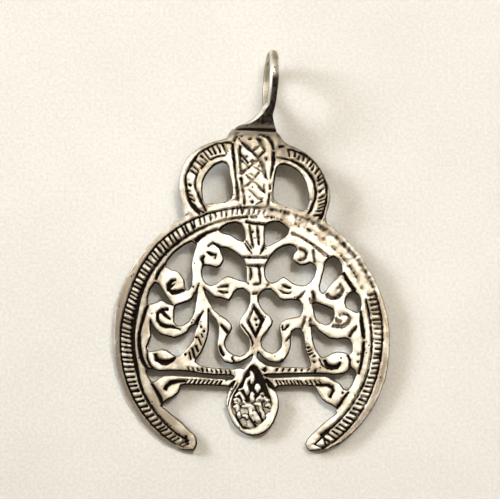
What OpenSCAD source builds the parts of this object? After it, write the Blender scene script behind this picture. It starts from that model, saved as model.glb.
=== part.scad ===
// Openwork crescent pendant, cast in one piece and chased by hand.
// Places are in millimetres on the face of the plate: u to the right, v up, from the crescent's centre.

/* [Plate] */
// Thickness of the cast plate
plate_t = 1.9; // [1.6:0.1:2.4]
// Depth of the chased grooves below the face
groove_depth = 0.6; // [0.4:0.05:0.8]
// How far the face stands in from the plate's outline
face_inset = 0.07; // [0.05:0.01:0.12]
// Width of the two grooves that frame the crescent's band
frame_groove_w = 0.36; // [0.25:0.01:0.5]

/* [Bail] */
// Radius of the hole through the bail
bail_hole_r = 3.9; // [3.4:0.1:4.1]
// Radius from the ring's centre to the middle of its wire
bail_ring_r = 4.75; // [4.7:0.05:4.8]
// Radius of the ring's wire
bail_wire_r = 0.8; // [0.75:0.05:0.85]
// Lean of the ring to the right, seen from the front
bail_lean = 4; // [0:1:6]
// Lean of the ring's upper side to the right, seen from the end
bail_roll = 6; // [0:1:8]

/* [Hatching] */
// Width of a cut across the crescent's band
band_cut_w = 0.36; // [0.25:0.01:0.45]
// Uneven spacing of the cuts, as a share of their pitch
hand_wander = 0.16; // [0:0.02:0.25]

/* [Hidden] */
cast_silver = "silver";

// The two layers of the plate overlap by this much
layer_lap = 0.2;
base_top = plate_t - groove_depth;
face_bottom = base_top - layer_lap;
// Width of a boss at its top, as a share of its foot
boss_top = 0.2;
// Slivers of the outline thinner than twice this are taken off
clean = 0.02;
// Sides of an outline longer than this get a midpoint
long_side = 1.9;
// Start of the random spacing of the band's cuts
hatch_seed = 200;
// How far those cuts run past the middle of the outer groove
hatch_overrun = 0.05;
// Sides of the dots and of the bosses
diamond_sides = 4;

// Crescent, by angle from the right, anticlockwise
// columns: angle, outline radius, outer groove radius, inner groove radius
RIM = [
    [-63, 21.2, 21.0, 19.8],
    [-60, 21.95, 21.6, 19.9],
    [-57, 22.45, 22.0, 19.9],
    [-48, 23.1, 22.15, 20.1],
    [-32, 23.35, 22.0, 20.15],
    [-16, 23.3, 21.7, 20.2],
    [-3, 23.0, 21.7, 20.05],
    [8, 22.9, 21.8, 19.85],
    [25, 22.55, 21.8, 20.1],
    [50, 22.6, 21.55, 20.1],
    [75, 22.7, 21.45, 20.1],
    [90, 22.7, 21.4, 19.85],
    [112, 22.8, 21.6, 19.8],
    [135, 22.75, 21.8, 19.85],
    [154, 22.9, 21.4, 19.7],
    [163, 23.0, 21.3, 19.35],
    [171, 22.85, 21.45, 19.25],
    [180, 22.75, 21.55, 19.45],
    [193, 22.85, 21.75, 19.55],
    [206, 22.95, 21.9, 20.15],
    [228, 22.8, 21.85, 20.2],
    [233, 22.5, 21.75, 20.2],
    [237.5, 22.15, 21.45, 20.1],
    [241.5, 21.55, 21.2, 20.0],
    [243.5, 21.0, 21.0, 20.0]
];
RIM_OUT = 1;
RIM_OUTER_GROOVE = 2;
RIM_INNER_GROOVE = 3;
// Greatest angle between two points of the rim, in degrees
rim_step = 6.5;

// Stretches of the two frame grooves, worn to dashes on the right shoulder
// columns: from angle, to angle, width share
OUTER_DASHES = [
    [-58, 20.5, 1], [22, 26.5, 1.3], [28, 33.5, 1.3], [38, 45.5, 1.2], [46.5, 51.5, 1],
    [54.5, 59, 1.5], [60, 82, 1], [83, 241, 1]
];
INNER_DASHES = [
    [-55, 18, 1.1], [22.8, 24.4, 0.9], [27.6, 30, 0.9], [31.2, 35.6, 1], [37, 42, 1], [46, 48, 0.9],
    [52.6, 54, 0.8], [59.8, 61.2, 0.7], [67.6, 69, 0.7], [78.8, 83.4, 0.7], [87.2, 90.2, 1], [91.6, 239.5, 1.1]
];

// Cuts across the band, by stretch
// columns: from angle, to angle, pitch, lean, gap at the inner groove, width share
BAND_CUTS = [
    [-53, -36, 0.92, -14, 0.25, 1],
    [-36, -8, 0.84, -14, 0.3, 1],
    [-8, 20, 0.85, 6, 0.4, 0.9],
    [61, 82, 0.8, 0, 1.1, 0.8],
    [83, 118, 0.95, 12, 0.35, 0.8],
    [118, 160, 0.86, 6, 0.1, 1],
    [160, 205, 0.84, 14, 0.32, 1.05],
    [205, 226, 0.98, 16, 0.15, 1.1],
    [226, 239, 0.95, 24, 0.1, 1]
];

// Outline of the crown above the crescent; the last row closes it behind the band
// columns: u, v
CROWN = [
    [-11.1, 20.5], [-11.3, 21.3], [-11.6, 22.2], [-11.85, 23.2], [-12.05, 24.3], [-12.0, 25.6], [-11.8, 27.0],
    [-11.4, 28.3], [-10.75, 29.5], [-9.9, 30.5], [-8.8, 31.3], [-7.5, 32.0], [-6.0, 32.5], [-4.7, 32.8],
    [-4.0, 33.1], [-3.65, 33.8], [-3.1, 34.5], [-2.3, 35.0], [-0.8, 35.35], [1.0, 35.5], [2.8, 35.4], [3.8, 34.9],
    [4.1, 34.2], [4.8, 33.4], [5.7, 32.2], [6.5, 31.8], [7.7, 31.3], [9.0, 30.6], [10.0, 29.8], [11.0, 28.8],
    [11.8, 27.7], [12.4, 26.5], [12.9, 25.3], [13.2, 24.0], [13.2, 22.7], [12.95, 21.5], [12.5, 20.4], [12.4, 19.7],
    [11.5, 17.5], [0, 20], [-10.5, 17.5], [-10.9, 19.6]
];

// Open mouth between the crescent's two ends, round the drop; it runs on below the ends
// columns: u, v
MOUTH = [
    [-9.6, -20.5], [-9.45, -18.8], [-9.05, -18.2], [-8.9, -17.6], [-9.0, -16.8], [-9.35, -16.15], [-10.2, -15.4],
    [-11.3, -14.25], [-12.7, -13.1], [-13.8, -12.2], [-14.75, -11.5], [-14.4, -10.9], [-13.8, -10.5], [-12.8, -10.0],
    [-12.0, -9.3], [-11.75, -8.7], [-11.6, -8.1], [-10.8, -7.95], [-8.5, -8.0], [-6.0, -8.1], [-4.2, -8.2],
    [-3.35, -8.4], [-3.75, -9.2], [-4.0, -10.2], [-4.15, -11.2], [-3.95, -12.0], [-3.6, -12.9], [-3.2, -13.9],
    [-2.6, -14.8], [-1.8, -15.6], [-0.8, -16.15], [0.25, -16.4], [1.3, -16.25], [2.3, -15.8], [3.2, -15.05],
    [3.85, -14.0], [4.3, -12.9], [4.6, -11.8], [4.6, -10.7], [4.35, -9.6], [3.9, -8.75], [4.5, -8.25],
    [6.5, -8.1], [9.0, -8.1], [10.3, -8.2], [10.8, -8.7], [11.2, -9.5], [11.7, -10.3], [12.4, -10.9],
    [13.3, -11.3], [14.1, -11.8], [13.95, -12.25], [14.1, -12.7], [13.5, -13.1], [12.5, -13.8], [11.2, -15.0],
    [10.0, -16.1], [9.25, -17.0], [8.95, -17.8], [9.3, -18.5], [9.75, -18.95], [9.9, -20.5]
];

// Piercings, one named outline each
// columns: u, v
LEFT_EYE = [
    [-4.8, 29.0], [-4.1, 28.75], [-3.7, 28.2], [-3.55, 26.8], [-3.25, 25.7], [-3.05, 24.0], [-3.2, 23.0],
    [-3.8, 22.5], [-5.2, 22.25], [-6.8, 22.05], [-7.7, 22.1], [-7.95, 22.8], [-8.1, 24.3], [-8.0, 25.7],
    [-7.5, 26.8], [-6.8, 27.75], [-6.0, 28.5]
];
RIGHT_EYE = [
    [4.3, 28.0], [4.75, 28.5], [5.5, 28.6], [6.5, 28.3], [7.6, 27.7], [8.5, 26.7], [9.1, 25.5], [9.5, 23.8],
    [9.6, 22.5], [9.25, 21.25], [8.7, 21.0], [7.3, 21.2], [5.8, 21.55], [4.7, 22.1], [3.8, 22.7], [3.7, 24.0],
    [3.9, 25.8], [4.1, 27.2]
];
LEFT_SHOULDER = [
    [-9.8, 15.8], [-9.0, 15.3], [-9.4, 14.0], [-9.75, 12.7], [-9.9, 11.5], [-9.75, 10.2], [-9.8, 8.5],
    [-10.2, 7.8], [-10.8, 7.75], [-10.9, 8.3], [-11.05, 9.3], [-11.6, 10.3], [-12.3, 10.9], [-13.3, 11.1],
    [-14.2, 11.75], [-13.8, 12.7], [-12.5, 14.1], [-11.2, 15.1]
];
LEFT_WEDGE = [
    [-15.9, 8.9], [-15.3, 8.7], [-14.7, 7.9], [-14.2, 7.0], [-13.5, 6.0], [-12.9, 5.25], [-13.8, 5.5],
    [-14.8, 6.1], [-15.5, 5.75], [-16.5, 5.5], [-17.1, 5.4], [-17.1, 6.5], [-16.7, 7.8]
];
LEFT_POOL = [
    [-12.5, 5.1], [-11.3, 5.5], [-10.2, 5.9], [-9.7, 6.3], [-9.3, 7.2], [-8.9, 7.2], [-9.0, 6.2], [-9.2, 5.3],
    [-9.25, 4.5], [-9.7, 3.3], [-10.3, 2.5], [-11.3, 1.9], [-12.2, 1.8], [-12.7, 2.5], [-12.7, 4.3]
];
LEFT_FIELD = [
    [-16.6, 2.7], [-16.2, 1.8], [-15.6, 1.0], [-15.0, 0.4], [-14.0, 0.1], [-12.7, -0.25], [-11.5, 0.1],
    [-10.5, 0.7], [-10.1, 1.5], [-9.3, 2.0], [-8.75, 2.0], [-9.2, 1.0], [-9.5, 0], [-9.6, -0.7], [-10.5, -1.8],
    [-11.5, -2.9], [-12.3, -3.25], [-13.0, -2.9], [-13.8, -2.25], [-14.7, -2.0], [-15.8, -2.3], [-17.0, -2.5],
    [-17.25, -1.8], [-16.8, -0.75], [-16.5, 0], [-16.6, 1.3]
];
LEFT_SLIT = [
    [-17.1, -5.25], [-16.3, -5.4], [-15.2, -5.7], [-13.2, -5.65], [-10.2, -5.75], [-8.5, -6.1], [-6.0, -6.35],
    [-3.2, -6.4], [-2.7, -6.7], [-3.2, -7.05], [-6.0, -6.85], [-8.5, -6.6], [-10.7, -6.45], [-13.5, -6.35],
    [-14.5, -6.4], [-15.5, -7.1], [-16.3, -7.6], [-16.8, -6.8], [-17.25, -6.0]
];
LEFT_GUSSET = [
    [-7.0, 4.5], [-6.5, 3.5], [-5.8, 2.7], [-5.4, 1.7], [-5.4, 0.2], [-5.6, -1.3], [-5.6, -2.2], [-5.1, -3.2],
    [-4.4, -4.2], [-3.2, -4.5], [-1.8, -4.3], [-0.7, -3.75], [0.3, -3.0], [0.15, -3.75], [-0.5, -4.6],
    [-1.2, -5.25], [-1.75, -5.1], [-3.0, -5.3], [-6.0, -5.2], [-7.3, -5.05], [-8.3, -4.7], [-9.2, -4.2],
    [-9.0, -3.75], [-8.3, -2.8], [-7.7, -1.6], [-7.25, -0.3], [-7.0, 1.0], [-7.0, 3.0]
];
LEFT_LYRE = [
    [-7.7, 7.9], [-6.8, 7.2], [-6.0, 6.5], [-5.0, 6.4], [-3.6, 5.95], [-3.25, 6.4], [-2.75, 7.4], [-2.2, 7.8],
    [-1.3, 7.9], [-0.7, 7.5], [-0.2, 7.0], [-0.2, 5.7], [-0.5, 4.7], [-1.2, 3.75], [-1.8, 2.8], [-2.05, 2.1],
    [-1.7, 1.25], [-1.0, 0.4], [-0.4, -0.4], [-0.2, -1.3], [-0.4, -2.3], [-1.0, -2.9], [-1.8, -3.2],
    [-2.8, -3.0], [-3.7, -2.4], [-4.2, -1.7], [-4.3, -0.9], [-4.0, -0.1], [-3.4, 0.75], [-3.1, 1.4],
    [-3.25, 2.1], [-4.0, 2.9], [-5.2, 3.7], [-6.1, 4.4], [-6.75, 5.6], [-7.3, 6.7]
];
LEFT_CORNER = [
    [-5.25, 17.6], [-4.7, 18.2], [-3.7, 18.7], [-2.5, 18.9], [-1.6, 18.6], [-1.1, 17.5], [-0.9, 16.25],
    [-1.25, 15.75], [-2.2, 16.1], [-3.5, 16.9], [-4.7, 17.2]
];
LEFT_HALL = [
    [-5.2, 14.8], [-4.0, 14.7], [-2.8, 14.1], [-1.8, 13.3], [-1.1, 12.6], [-0.8, 11.3], [-0.8, 10.0],
    [-0.8, 9.1], [-1.8, 9.3], [-3.0, 9.8], [-3.9, 10.1], [-4.7, 9.6], [-5.7, 8.75], [-6.7, 8.45], [-7.5, 8.9],
    [-8.0, 9.75], [-8.1, 10.8], [-7.9, 11.7], [-7.5, 11.8], [-6.7, 11.7], [-5.7, 11.4], [-5.0, 11.7],
    [-4.5, 12.6], [-4.6, 13.3], [-5.0, 14.2]
];
RIGHT_CORNER = [
    [2.3, 18.2], [2.75, 18.75], [3.7, 19.0], [4.7, 19.0], [5.5, 18.5], [6.3, 17.8], [6.1, 17.0], [5.5, 16.45],
    [4.3, 15.8], [3.2, 15.2], [2.5, 15.0], [2.3, 15.5]
];
RIGHT_HALL = [
    [3.2, 13.2], [3.75, 13.9], [4.5, 14.5], [5.5, 15.0], [6.5, 15.2], [7.3, 14.9], [7.6, 14.3], [7.1, 13.7],
    [6.9, 12.9], [7.4, 12.25], [8.2, 11.8], [9.0, 11.85], [9.8, 12.2], [10.5, 11.9], [10.8, 11.2], [10.5, 10.0],
    [9.9, 9.1], [9.0, 8.5], [8.0, 8.5], [7.0, 8.8], [6.2, 9.4], [5.4, 9.9], [4.9, 9.7], [4.3, 9.2], [3.5, 8.9],
    [2.8, 9.2], [2.4, 9.9], [2.3, 11.0], [2.5, 11.9]
];
RIGHT_SHOULDER = [
    [13.2, 13.1], [13.8, 13.2], [14.5, 12.7], [15.0, 11.8], [15.1, 11.0], [14.9, 10.4], [14.3, 9.7], [13.5, 9.0],
    [12.8, 8.2], [12.3, 7.4], [11.9, 7.2], [11.5, 7.5], [11.4, 8.3], [11.7, 9.5], [12.1, 11.0], [12.3, 12.2],
    [12.7, 12.75]
];
RIGHT_WEDGE = [
    [16.6, 7.3], [17.2, 7.4], [17.75, 6.9], [18.1, 6.2], [18.2, 5.2], [18.0, 4.3], [17.5, 4.0], [16.7, 4.4],
    [15.8, 4.8], [15.6, 5.5], [15.7, 6.25], [16.1, 6.9]
];
RIGHT_POOL = [
    [10.2, 5.5], [10.8, 5.6], [11.7, 5.25], [12.7, 4.9], [13.6, 4.5], [13.8, 3.7], [13.6, 2.8], [13.1, 2.2],
    [12.3, 1.95], [11.4, 2.3], [10.8, 2.9], [10.5, 4.0]
];
RIGHT_LYRE = [
    [1.3, 6.7], [1.8, 7.4], [2.5, 7.8], [3.3, 7.8], [4.0, 7.25], [4.75, 6.3], [5.5, 6.0], [6.8, 6.1], [8.0, 6.0],
    [8.5, 5.2], [8.5, 4.2], [8.1, 3.45], [7.2, 3.2], [5.8, 2.95], [5.0, 2.4], [4.7, 1.7], [4.8, 0.7],
    [5.1, -0.5], [5.0, -1.7], [4.4, -2.45], [3.5, -2.7], [2.6, -2.45], [1.9, -1.7], [1.7, -0.8], [2.05, 0],
    [2.8, 0.9], [3.5, 1.9], [3.6, 2.7], [3.2, 3.3], [2.25, 4.1], [1.6, 5.0], [1.25, 5.9]
];
RIGHT_FIELD = [
    [10.05, 1.8], [10.6, 1.75], [11.2, 1.0], [12.2, 0.25], [13.0, -0.3], [14.2, -0.5], [15.5, -0.3],
    [16.3, -0.5], [16.7, -1.3], [16.7, -2.5], [16.2, -2.9], [15.4, -2.6], [14.2, -2.5], [13.3, -2.75],
    [12.7, -3.2], [11.75, -3.4], [11.2, -2.9], [10.7, -2.0], [10.3, -0.8], [10.1, 0.5]
];
RIGHT_SLIT = [
    [2.1, -6.4], [4.0, -6.25], [7.3, -6.2], [10.2, -6.1], [12.5, -6.2], [13.7, -6.3], [15.2, -6.2],
    [16.0, -5.75], [16.5, -5.1], [17.1, -5.6], [17.4, -6.2], [17.0, -7.25], [16.5, -8.25], [15.9, -8.8],
    [15.3, -8.6], [14.75, -7.75], [14.0, -7.4], [13.25, -7.0], [12.5, -6.55], [10.2, -6.5], [7.3, -6.6],
    [4.8, -6.7], [3.2, -6.75]
];
RIGHT_GUSSET = [
    [6.75, 0.8], [7.5, 1.2], [8.25, 1.2], [8.7, 0.3], [8.8, -1.0], [9.05, -2.3], [9.6, -3.7], [9.8, -4.9],
    [9.0, -5.1], [7.3, -5.05], [5.8, -5.0], [4.0, -4.9], [2.7, -4.7], [1.7, -4.1], [1.05, -3.5], [1.2, -2.6],
    [1.6, -3.0], [2.2, -3.6], [3.2, -4.2], [4.2, -4.3], [5.2, -4.25], [5.7, -3.6], [6.25, -2.75],
    [6.6, -1.6], [6.6, -0.2]
];
PIERCINGS = [
    LEFT_EYE, RIGHT_EYE, LEFT_SHOULDER, LEFT_WEDGE, LEFT_POOL, LEFT_FIELD, LEFT_SLIT, LEFT_GUSSET, LEFT_LYRE,
    LEFT_CORNER, LEFT_HALL, RIGHT_CORNER, RIGHT_HALL, RIGHT_SHOULDER, RIGHT_WEDGE, RIGHT_POOL, RIGHT_LYRE,
    RIGHT_FIELD, RIGHT_SLIT, RIGHT_GUSSET
];

// Deep recesses between the scrolls and the rim, one stroke each
// columns: u, v, width
RECESSES = [
    [[-14.2, 12.0, 0.45], [-15.2, 10.7, 0.5], [-15.75, 9.4, 0.4]],
    [[-16.9, 5.4, 0.4], [-17.4, 4.5, 0.5], [-17.75, 3.3, 0.55], [-18.1, 2.0, 0.5], [-18.4, 0.7, 0.5],
     [-18.45, -0.7, 0.5], [-18.35, -2.0, 0.5], [-18.1, -3.3, 0.5], [-17.7, -4.3, 0.5], [-17.1, -5.2, 0.45]],
    [[15.3, 10.6, 0.4], [15.85, 9.5, 0.6], [16.5, 8.5, 0.6], [17.3, 7.5, 0.5]],
    [[18.15, 4.2, 0.3], [18.3, 2.7, 0.55], [18.5, 1.0, 0.6], [18.7, -0.4, 0.4]],
    [[18.65, -0.9, 0.35], [18.55, -2.3, 0.5], [18.35, -3.7, 0.5], [18.1, -5.0, 0.45], [17.75, -6.2, 0.4]],
    [[16.1, -9.2, 0.25], [15.3, -10.2, 0.45], [14.7, -11.1, 0.5], [14.1, -11.9, 0.45]],
    [[-16.35, -7.7, 0.35], [-15.6, -8.9, 0.5], [-14.9, -10.1, 0.6], [-14.6, -11.2, 0.45]],
    [[-5.4, 17.8, 0.35], [-7.2, 17.2, 0.4], [-8.4, 16.5, 0.6], [-9.3, 15.7, 0.8]],
    [[-17.1, -2.4, 0.25], [-17.1, -3.6, 0.35], [-16.6, -4.8, 0.35], [-15.9, -5.5, 0.4]],
    [[15.9, -2.9, 0.25], [16.35, -4.0, 0.35], [16.35, -5.0, 0.35], [16.1, -5.7, 0.3]],
    [[10.2, 7.5, 0.25], [10.4, 6.8, 0.5], [10.5, 5.6, 0.6]],
    [[9.7, 6.4, 0.3], [10.0, 5.5, 0.3]],
    [[2.35, 15.3, 0.5], [1.95, 14.5, 0.45], [1.55, 13.6, 0.15]],
    [[9.8, 3.0, 0.25], [9.95, 1.7, 0.4]],
    [[8.95, 3.2, 0.25], [8.8, 2.3, 0.35], [8.3, 1.2, 0.4]],
    [[-7.85, 4.2, 0.2], [-8.5, 3.2, 0.45], [-9.1, 2.0, 0.7]],
    [[-8.65, 8.6, 0.2], [-8.9, 7.9, 0.35], [-9.05, 7.1, 0.4]],
    [[-2.6, -7.3, 0.3], [-3.4, -8.3, 0.7]],
    [[2.4, -7.0, 0.5], [3.2, -8.0, 0.9], [3.8, -8.7, 0.5]],
    [[-0.9, 19.05, 0.35], [0.2, 18.75, 0.45], [2.3, 18.6, 0.4]]
];

// Grooves that draw the curls, leaves and flutes inside the crescent, one stroke each
// columns: u, v, width
SCROLL_LINES = [
    [[-12.4, 9.4, 0.35], [-13.1, 9.2, 0.55], [-13.65, 8.5, 0.55], [-13.6, 7.8, 0.6], [-13.0, 7.3, 0.6],
     [-12.1, 7.4, 0.5], [-11.0, 7.7, 0.4]],
    [[-13.4, 8.1, 0.5], [-12.5, 8.8, 0.15]],
    [[-13.7, 4.5, 0.3], [-14.7, 4.5, 0.5], [-15.4, 3.8, 0.5], [-15.4, 2.8, 0.5], [-14.9, 2.0, 0.5],
     [-14.1, 1.7, 0.45], [-13.0, 1.65, 0.35], [-12.0, 1.3, 0.25], [-11.7, 1.15, 0.15]],
    [[-14.8, 4.2, 0.7], [-14.1, 3.5, 0.4], [-13.3, 2.8, 0.15]],
    [[-15.8, -2.8, 0.45], [-15.5, -3.8, 0.7], [-14.8, -4.2, 0.8], [-14.0, -4.3, 0.75], [-13.1, -4.0, 0.7],
     [-12.4, -3.4, 0.4]],
    [[-10.8, -7.3, 0.45], [-12.2, -7.4, 0.5], [-13.2, -7.6, 0.55], [-13.9, -8.2, 0.6], [-14.2, -8.8, 0.6]],
    [[-7.25, 14.0, 0.2], [-6.6, 13.6, 0.45], [-5.8, 13.5, 0.35], [-5.9, 12.9, 0.2]],
    [[-7.7, 13.4, 0.4], [-8.05, 12.8, 0.55], [-7.8, 11.8, 0.3]],
    [[-7.15, 14.9, 0.2], [-6.5, 15.4, 0.2]],
    [[-6.4, 15.6, 0.15], [-5.2, 14.9, 0.5]],
    [[8.0, 14.5, 0.35], [8.8, 14.3, 0.5], [9.2, 13.7, 0.5], [9.0, 13.0, 0.5], [8.5, 12.7, 0.4], [7.9, 12.6, 0.25]],
    [[10.25, 14.4, 0.3], [10.4, 13.5, 0.3], [10.6, 12.2, 0.4]],
    [[6.75, 17.1, 0.3], [7.5, 16.8, 0.25], [8.7, 16.2, 0.3], [9.7, 15.6, 0.35], [10.7, 14.8, 0.3],
     [11.6, 14.1, 0.5], [12.2, 13.6, 0.4], [12.9, 13.2, 0.4]],
    [[14.2, 8.0, 0.3], [14.9, 8.25, 0.45], [15.2, 7.7, 0.6], [14.9, 7.0, 0.6], [14.2, 6.5, 0.6],
     [13.4, 6.3, 0.55], [12.8, 6.6, 0.6], [12.5, 7.2, 0.5]],
    [[14.65, 8.7, 0.2], [15.0, 8.2, 0.35]],
    [[14.6, 3.5, 0.25], [15.3, 3.8, 0.4], [16.0, 3.6, 0.4], [16.35, 3.0, 0.5], [16.0, 2.2, 0.6],
     [15.2, 1.75, 0.6], [14.2, 1.7, 0.6], [13.4, 1.8, 0.5]],
    [[14.0, 3.1, 0.3], [14.3, 2.5, 0.5], [15.0, 2.3, 0.5]],
    [[17.5, 1.7, 0.3], [16.8, 0.8, 0.5], [16.2, -0.1, 0.5]],
    [[12.1, -3.8, 0.5], [12.5, -4.7, 0.7], [13.3, -5.15, 0.8], [14.2, -5.0, 0.7], [14.8, -4.3, 0.4]],
    [[11.25, -3.7, 0.15], [11.8, -4.8, 0.2], [12.75, -5.4, 0.15]],
    [[10.7, -8.0, 0.4], [11.8, -8.0, 0.45], [12.7, -8.0, 0.5], [13.4, -8.4, 0.5], [13.6, -8.9, 0.5],
     [13.3, -9.5, 0.5], [13.0, -10.1, 0.5]],
    [[-5.3, 8.2, 0.15], [-4.4, 8.3, 0.35], [-3.7, 8.4, 0.45]],
    [[-5.4, 7.5, 0.15], [-4.6, 7.3, 0.25], [-3.8, 7.35, 0.35]],
    [[5.2, 8.5, 0.2], [6.0, 8.15, 0.35], [6.6, 8.0, 0.4]],
    [[4.7, 7.7, 0.15], [5.5, 7.2, 0.25], [6.4, 7.1, 0.25], [6.65, 7.4, 0.2]],
    [[9.0, 7.5, 0.15], [8.4, 6.9, 0.3], [7.6, 6.2, 0.45]],
    [[-0.1, 11.5, 0.35], [0.05, 10.2, 0.4], [-0.1, 9.4, 0.2]],
    [[1.35, 11.5, 0.35], [1.5, 10.0, 0.35], [1.6, 8.9, 0.2]],
    [[0.4, 8.6, 0.2], [1.1, 8.7, 0.3], [1.7, 8.85, 0.25]],
    [[-0.7, 9.0, 0.15], [-0.4, 8.6, 0.2]],
    [[2.6, 8.3, 0.15], [3.0, 8.7, 0.3]],
    [[0.3, 7.05, 0.25], [1.1, 7.2, 0.3]],
    [[-1.3, 13.05, 0.3], [1.0, 13.1, 0.35], [3.2, 13.0, 0.3]],
    [[-0.75, 11.7, 0.35], [1.0, 11.7, 0.4], [2.3, 11.7, 0.35]],
    [[-1.6, 2.0, 0.2], [-0.8, 0.95, 0.3], [-0.1, 0, 0.3], [0.3, -1.3, 0.3], [0.1, -1.7, 0.15]],
    [[-0.25, 18.5, 0.3], [0.0, 16.7, 0.35], [0.3, 15.3, 0.4], [0.45, 14.6, 0.25]],
    [[1.1, 18.5, 0.3], [1.25, 16.5, 0.4], [1.35, 15.1, 0.25]],
    [[-0.9, 15.9, 0.25], [0.2, 14.5, 0.2]],
    [[-1.0, 15.5, 0.25], [0.15, 13.7, 0.15]],
    [[-5.0, 2.0, 0.3], [-4.3, 1.2, 0.6], [-3.8, 0.6, 0.55]],
    [[-5.25, -1.5, 0.2], [-5.0, -2.4, 0.5], [-4.5, -3.2, 0.4]],
    [[-3.2, -3.4, 0.2], [-2.7, -4.3, 0.25]],
    [[5.2, 1.9, 0.2], [5.2, 1.1, 0.25], [5.7, 1.3, 0.25], [6.2, 1.9, 0.3]],
    [[6.6, 0.2, 0.2], [5.8, -0.8, 0.2]],
    [[-2.1, -7.7, 0.15], [-2.85, -8.8, 0.2], [-3.4, -9.9, 0.2], [-3.7, -10.9, 0.2], [-3.8, -11.6, 0.15]],
    [[1.3, -5.6, 0.35], [1.8, -6.6, 0.35], [2.5, -7.7, 0.2]]
];

// Grooves on the crown's two arches and its tongue, one stroke each
// columns: u, v, width
CROWN_LINES = [
    [[-3.2, 32.1, 0.35], [-4.2, 32.2, 0.2], [-5.8, 31.95, 0.3], [-7.0, 31.4, 0.4], [-7.9, 30.9, 0.35],
     [-8.8, 30.25, 0.25], [-9.4, 29.3, 0.4], [-9.9, 28.5, 0.4], [-10.4, 27.5, 0.35], [-10.8, 26.7, 0.3],
     [-10.85, 25.7, 0.35], [-10.65, 24.5, 0.35], [-10.45, 23.3, 0.4], [-10.0, 22.2, 0.6], [-9.2, 21.2, 0.6],
     [-8.4, 20.2, 0.4]],
    [[-4.1, 30.1, 0.2], [-5.0, 30.0, 0.25], [-6.0, 29.7, 0.3], [-6.75, 29.3, 0.3]],
    [[-7.3, 28.9, 0.15], [-7.9, 28.3, 0.3], [-8.3, 27.8, 0.35]],
    [[-8.75, 27.2, 0.2], [-9.0, 26.6, 0.3], [-9.2, 25.8, 0.35], [-9.2, 24.8, 0.3], [-8.9, 24.0, 0.35],
     [-8.5, 23.1, 0.45], [-8.0, 22.0, 0.4], [-7.4, 20.8, 0.35]],
    [[6.0, 31.05, 0.3], [7.0, 30.9, 0.35], [8.2, 30.5, 0.4], [9.2, 30.0, 0.5], [10.0, 29.5, 0.35],
     [10.8, 28.7, 0.5], [11.6, 27.8, 0.5], [12.05, 26.8, 0.5], [12.3, 25.7, 0.45], [12.55, 24.5, 0.4],
     [12.6, 23.3, 0.35], [12.4, 22.2, 0.35], [12.2, 21.2, 0.4], [11.75, 20.0, 0.5], [11.25, 19.0, 0.5]],
    [[4.6, 31.4, 0.35], [5.6, 31.6, 0.3]],
    [[4.3, 29.7, 0.2], [5.5, 29.5, 0.3], [6.7, 29.2, 0.35], [7.7, 28.7, 0.45], [8.7, 28.0, 0.5],
     [9.5, 27.2, 0.5], [10.2, 26.2, 0.5], [10.6, 25.2, 0.4], [10.75, 24.0, 0.4], [10.65, 22.8, 0.4],
     [10.3, 22.0, 0.45], [9.9, 21.0, 0.45], [9.2, 19.9, 0.35]],
    [[-2.85, 32.3, 0.4], [-2.3, 33.3, 0.4], [-1.5, 33.9, 0.45], [-0.5, 34.1, 0.4], [0.8, 33.9, 0.4],
     [1.9, 33.6, 0.45], [2.9, 33.0, 0.55], [3.5, 32.1, 0.55], [3.75, 31.0, 0.35]],
    [[-3.0, 32.1, 0.45], [-3.0, 31.0, 0.5], [-2.9, 29.8, 0.45], [-2.75, 28.8, 0.4], [-2.6, 27.7, 0.35],
     [-2.5, 26.3, 0.3], [-2.35, 25.0, 0.35], [-2.2, 23.7, 0.45], [-2.2, 22.6, 0.4]],
    [[-1.75, 21.8, 0.2], [-1.4, 20.4, 0.35]],
    [[3.75, 30.6, 0.4], [3.75, 29.3, 0.5], [3.6, 28.2, 0.4], [3.4, 27.2, 0.35], [3.25, 26.2, 0.25]],
    [[3.15, 25.2, 0.2], [3.15, 24.4, 0.2]],
    [[3.05, 23.7, 0.35], [2.95, 22.6, 0.35], [2.8, 21.4, 0.35]],
    [[-1.85, 31.6, 0.3], [-1.85, 30.2, 0.3], [-1.75, 28.7, 0.2], [-1.7, 27.0, 0.2]],
    [[-1.7, 26.4, 0.35], [-1.4, 25.0, 0.35], [-1.3, 24.2, 0.25], [-1.1, 23.3, 0.3], [-1.05, 21.9, 0.35]],
    [[-0.5, 32.7, 0.3], [0.2, 32.85, 0.3]],
    [[1.0, 32.9, 0.35], [1.5, 32.5, 0.45], [1.75, 31.9, 0.3], [2.1, 31.2, 0.3], [2.35, 30.8, 0.3],
     [1.9, 30.4, 0.35], [1.3, 29.7, 0.3]],
    [[-1.6, 32.3, 0.35], [-0.4, 31.2, 0.4], [0.3, 30.5, 0.35], [1.2, 29.6, 0.3], [1.8, 28.7, 0.4],
     [2.3, 27.3, 0.4], [2.45, 26.3, 0.4]],
    [[2.2, 25.3, 0.15], [2.2, 24.3, 0.2], [2.25, 23.8, 0.3]],
    [[-1.75, 30.2, 0.3], [-1.2, 29.7, 0.3], [-0.4, 28.7, 0.3]],
    [[-1.65, 26.9, 0.4], [-0.9, 27.6, 0.35], [0, 28.3, 0.25], [0.8, 29.1, 0.25]],
    [[-1.3, 24.7, 0.2], [-0.7, 25.0, 0.2], [0.2, 25.8, 0.2], [1.5, 27.3, 0.14]],
    [[-0.8, 26.8, 0.15], [0.25, 25.8, 0.2]],
    [[-0.3, 24.2, 0.14], [0.5, 23.5, 0.2], [1.2, 22.8, 0.3], [1.9, 22.7, 0.3]],
    [[1.2, 24.8, 0.15], [1.8, 24.2, 0.2], [2.2, 23.9, 0.3]],
    [[2.0, 22.5, 0.25], [1.0, 21.9, 0.2]],
    [[-0.3, 22.9, 0.16], [0, 23.25, 0.16]],
    [[1.9, 32.0, 0.15], [0.8, 31.1, 0.25], [0.05, 30.6, 0.3]]
];

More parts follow.
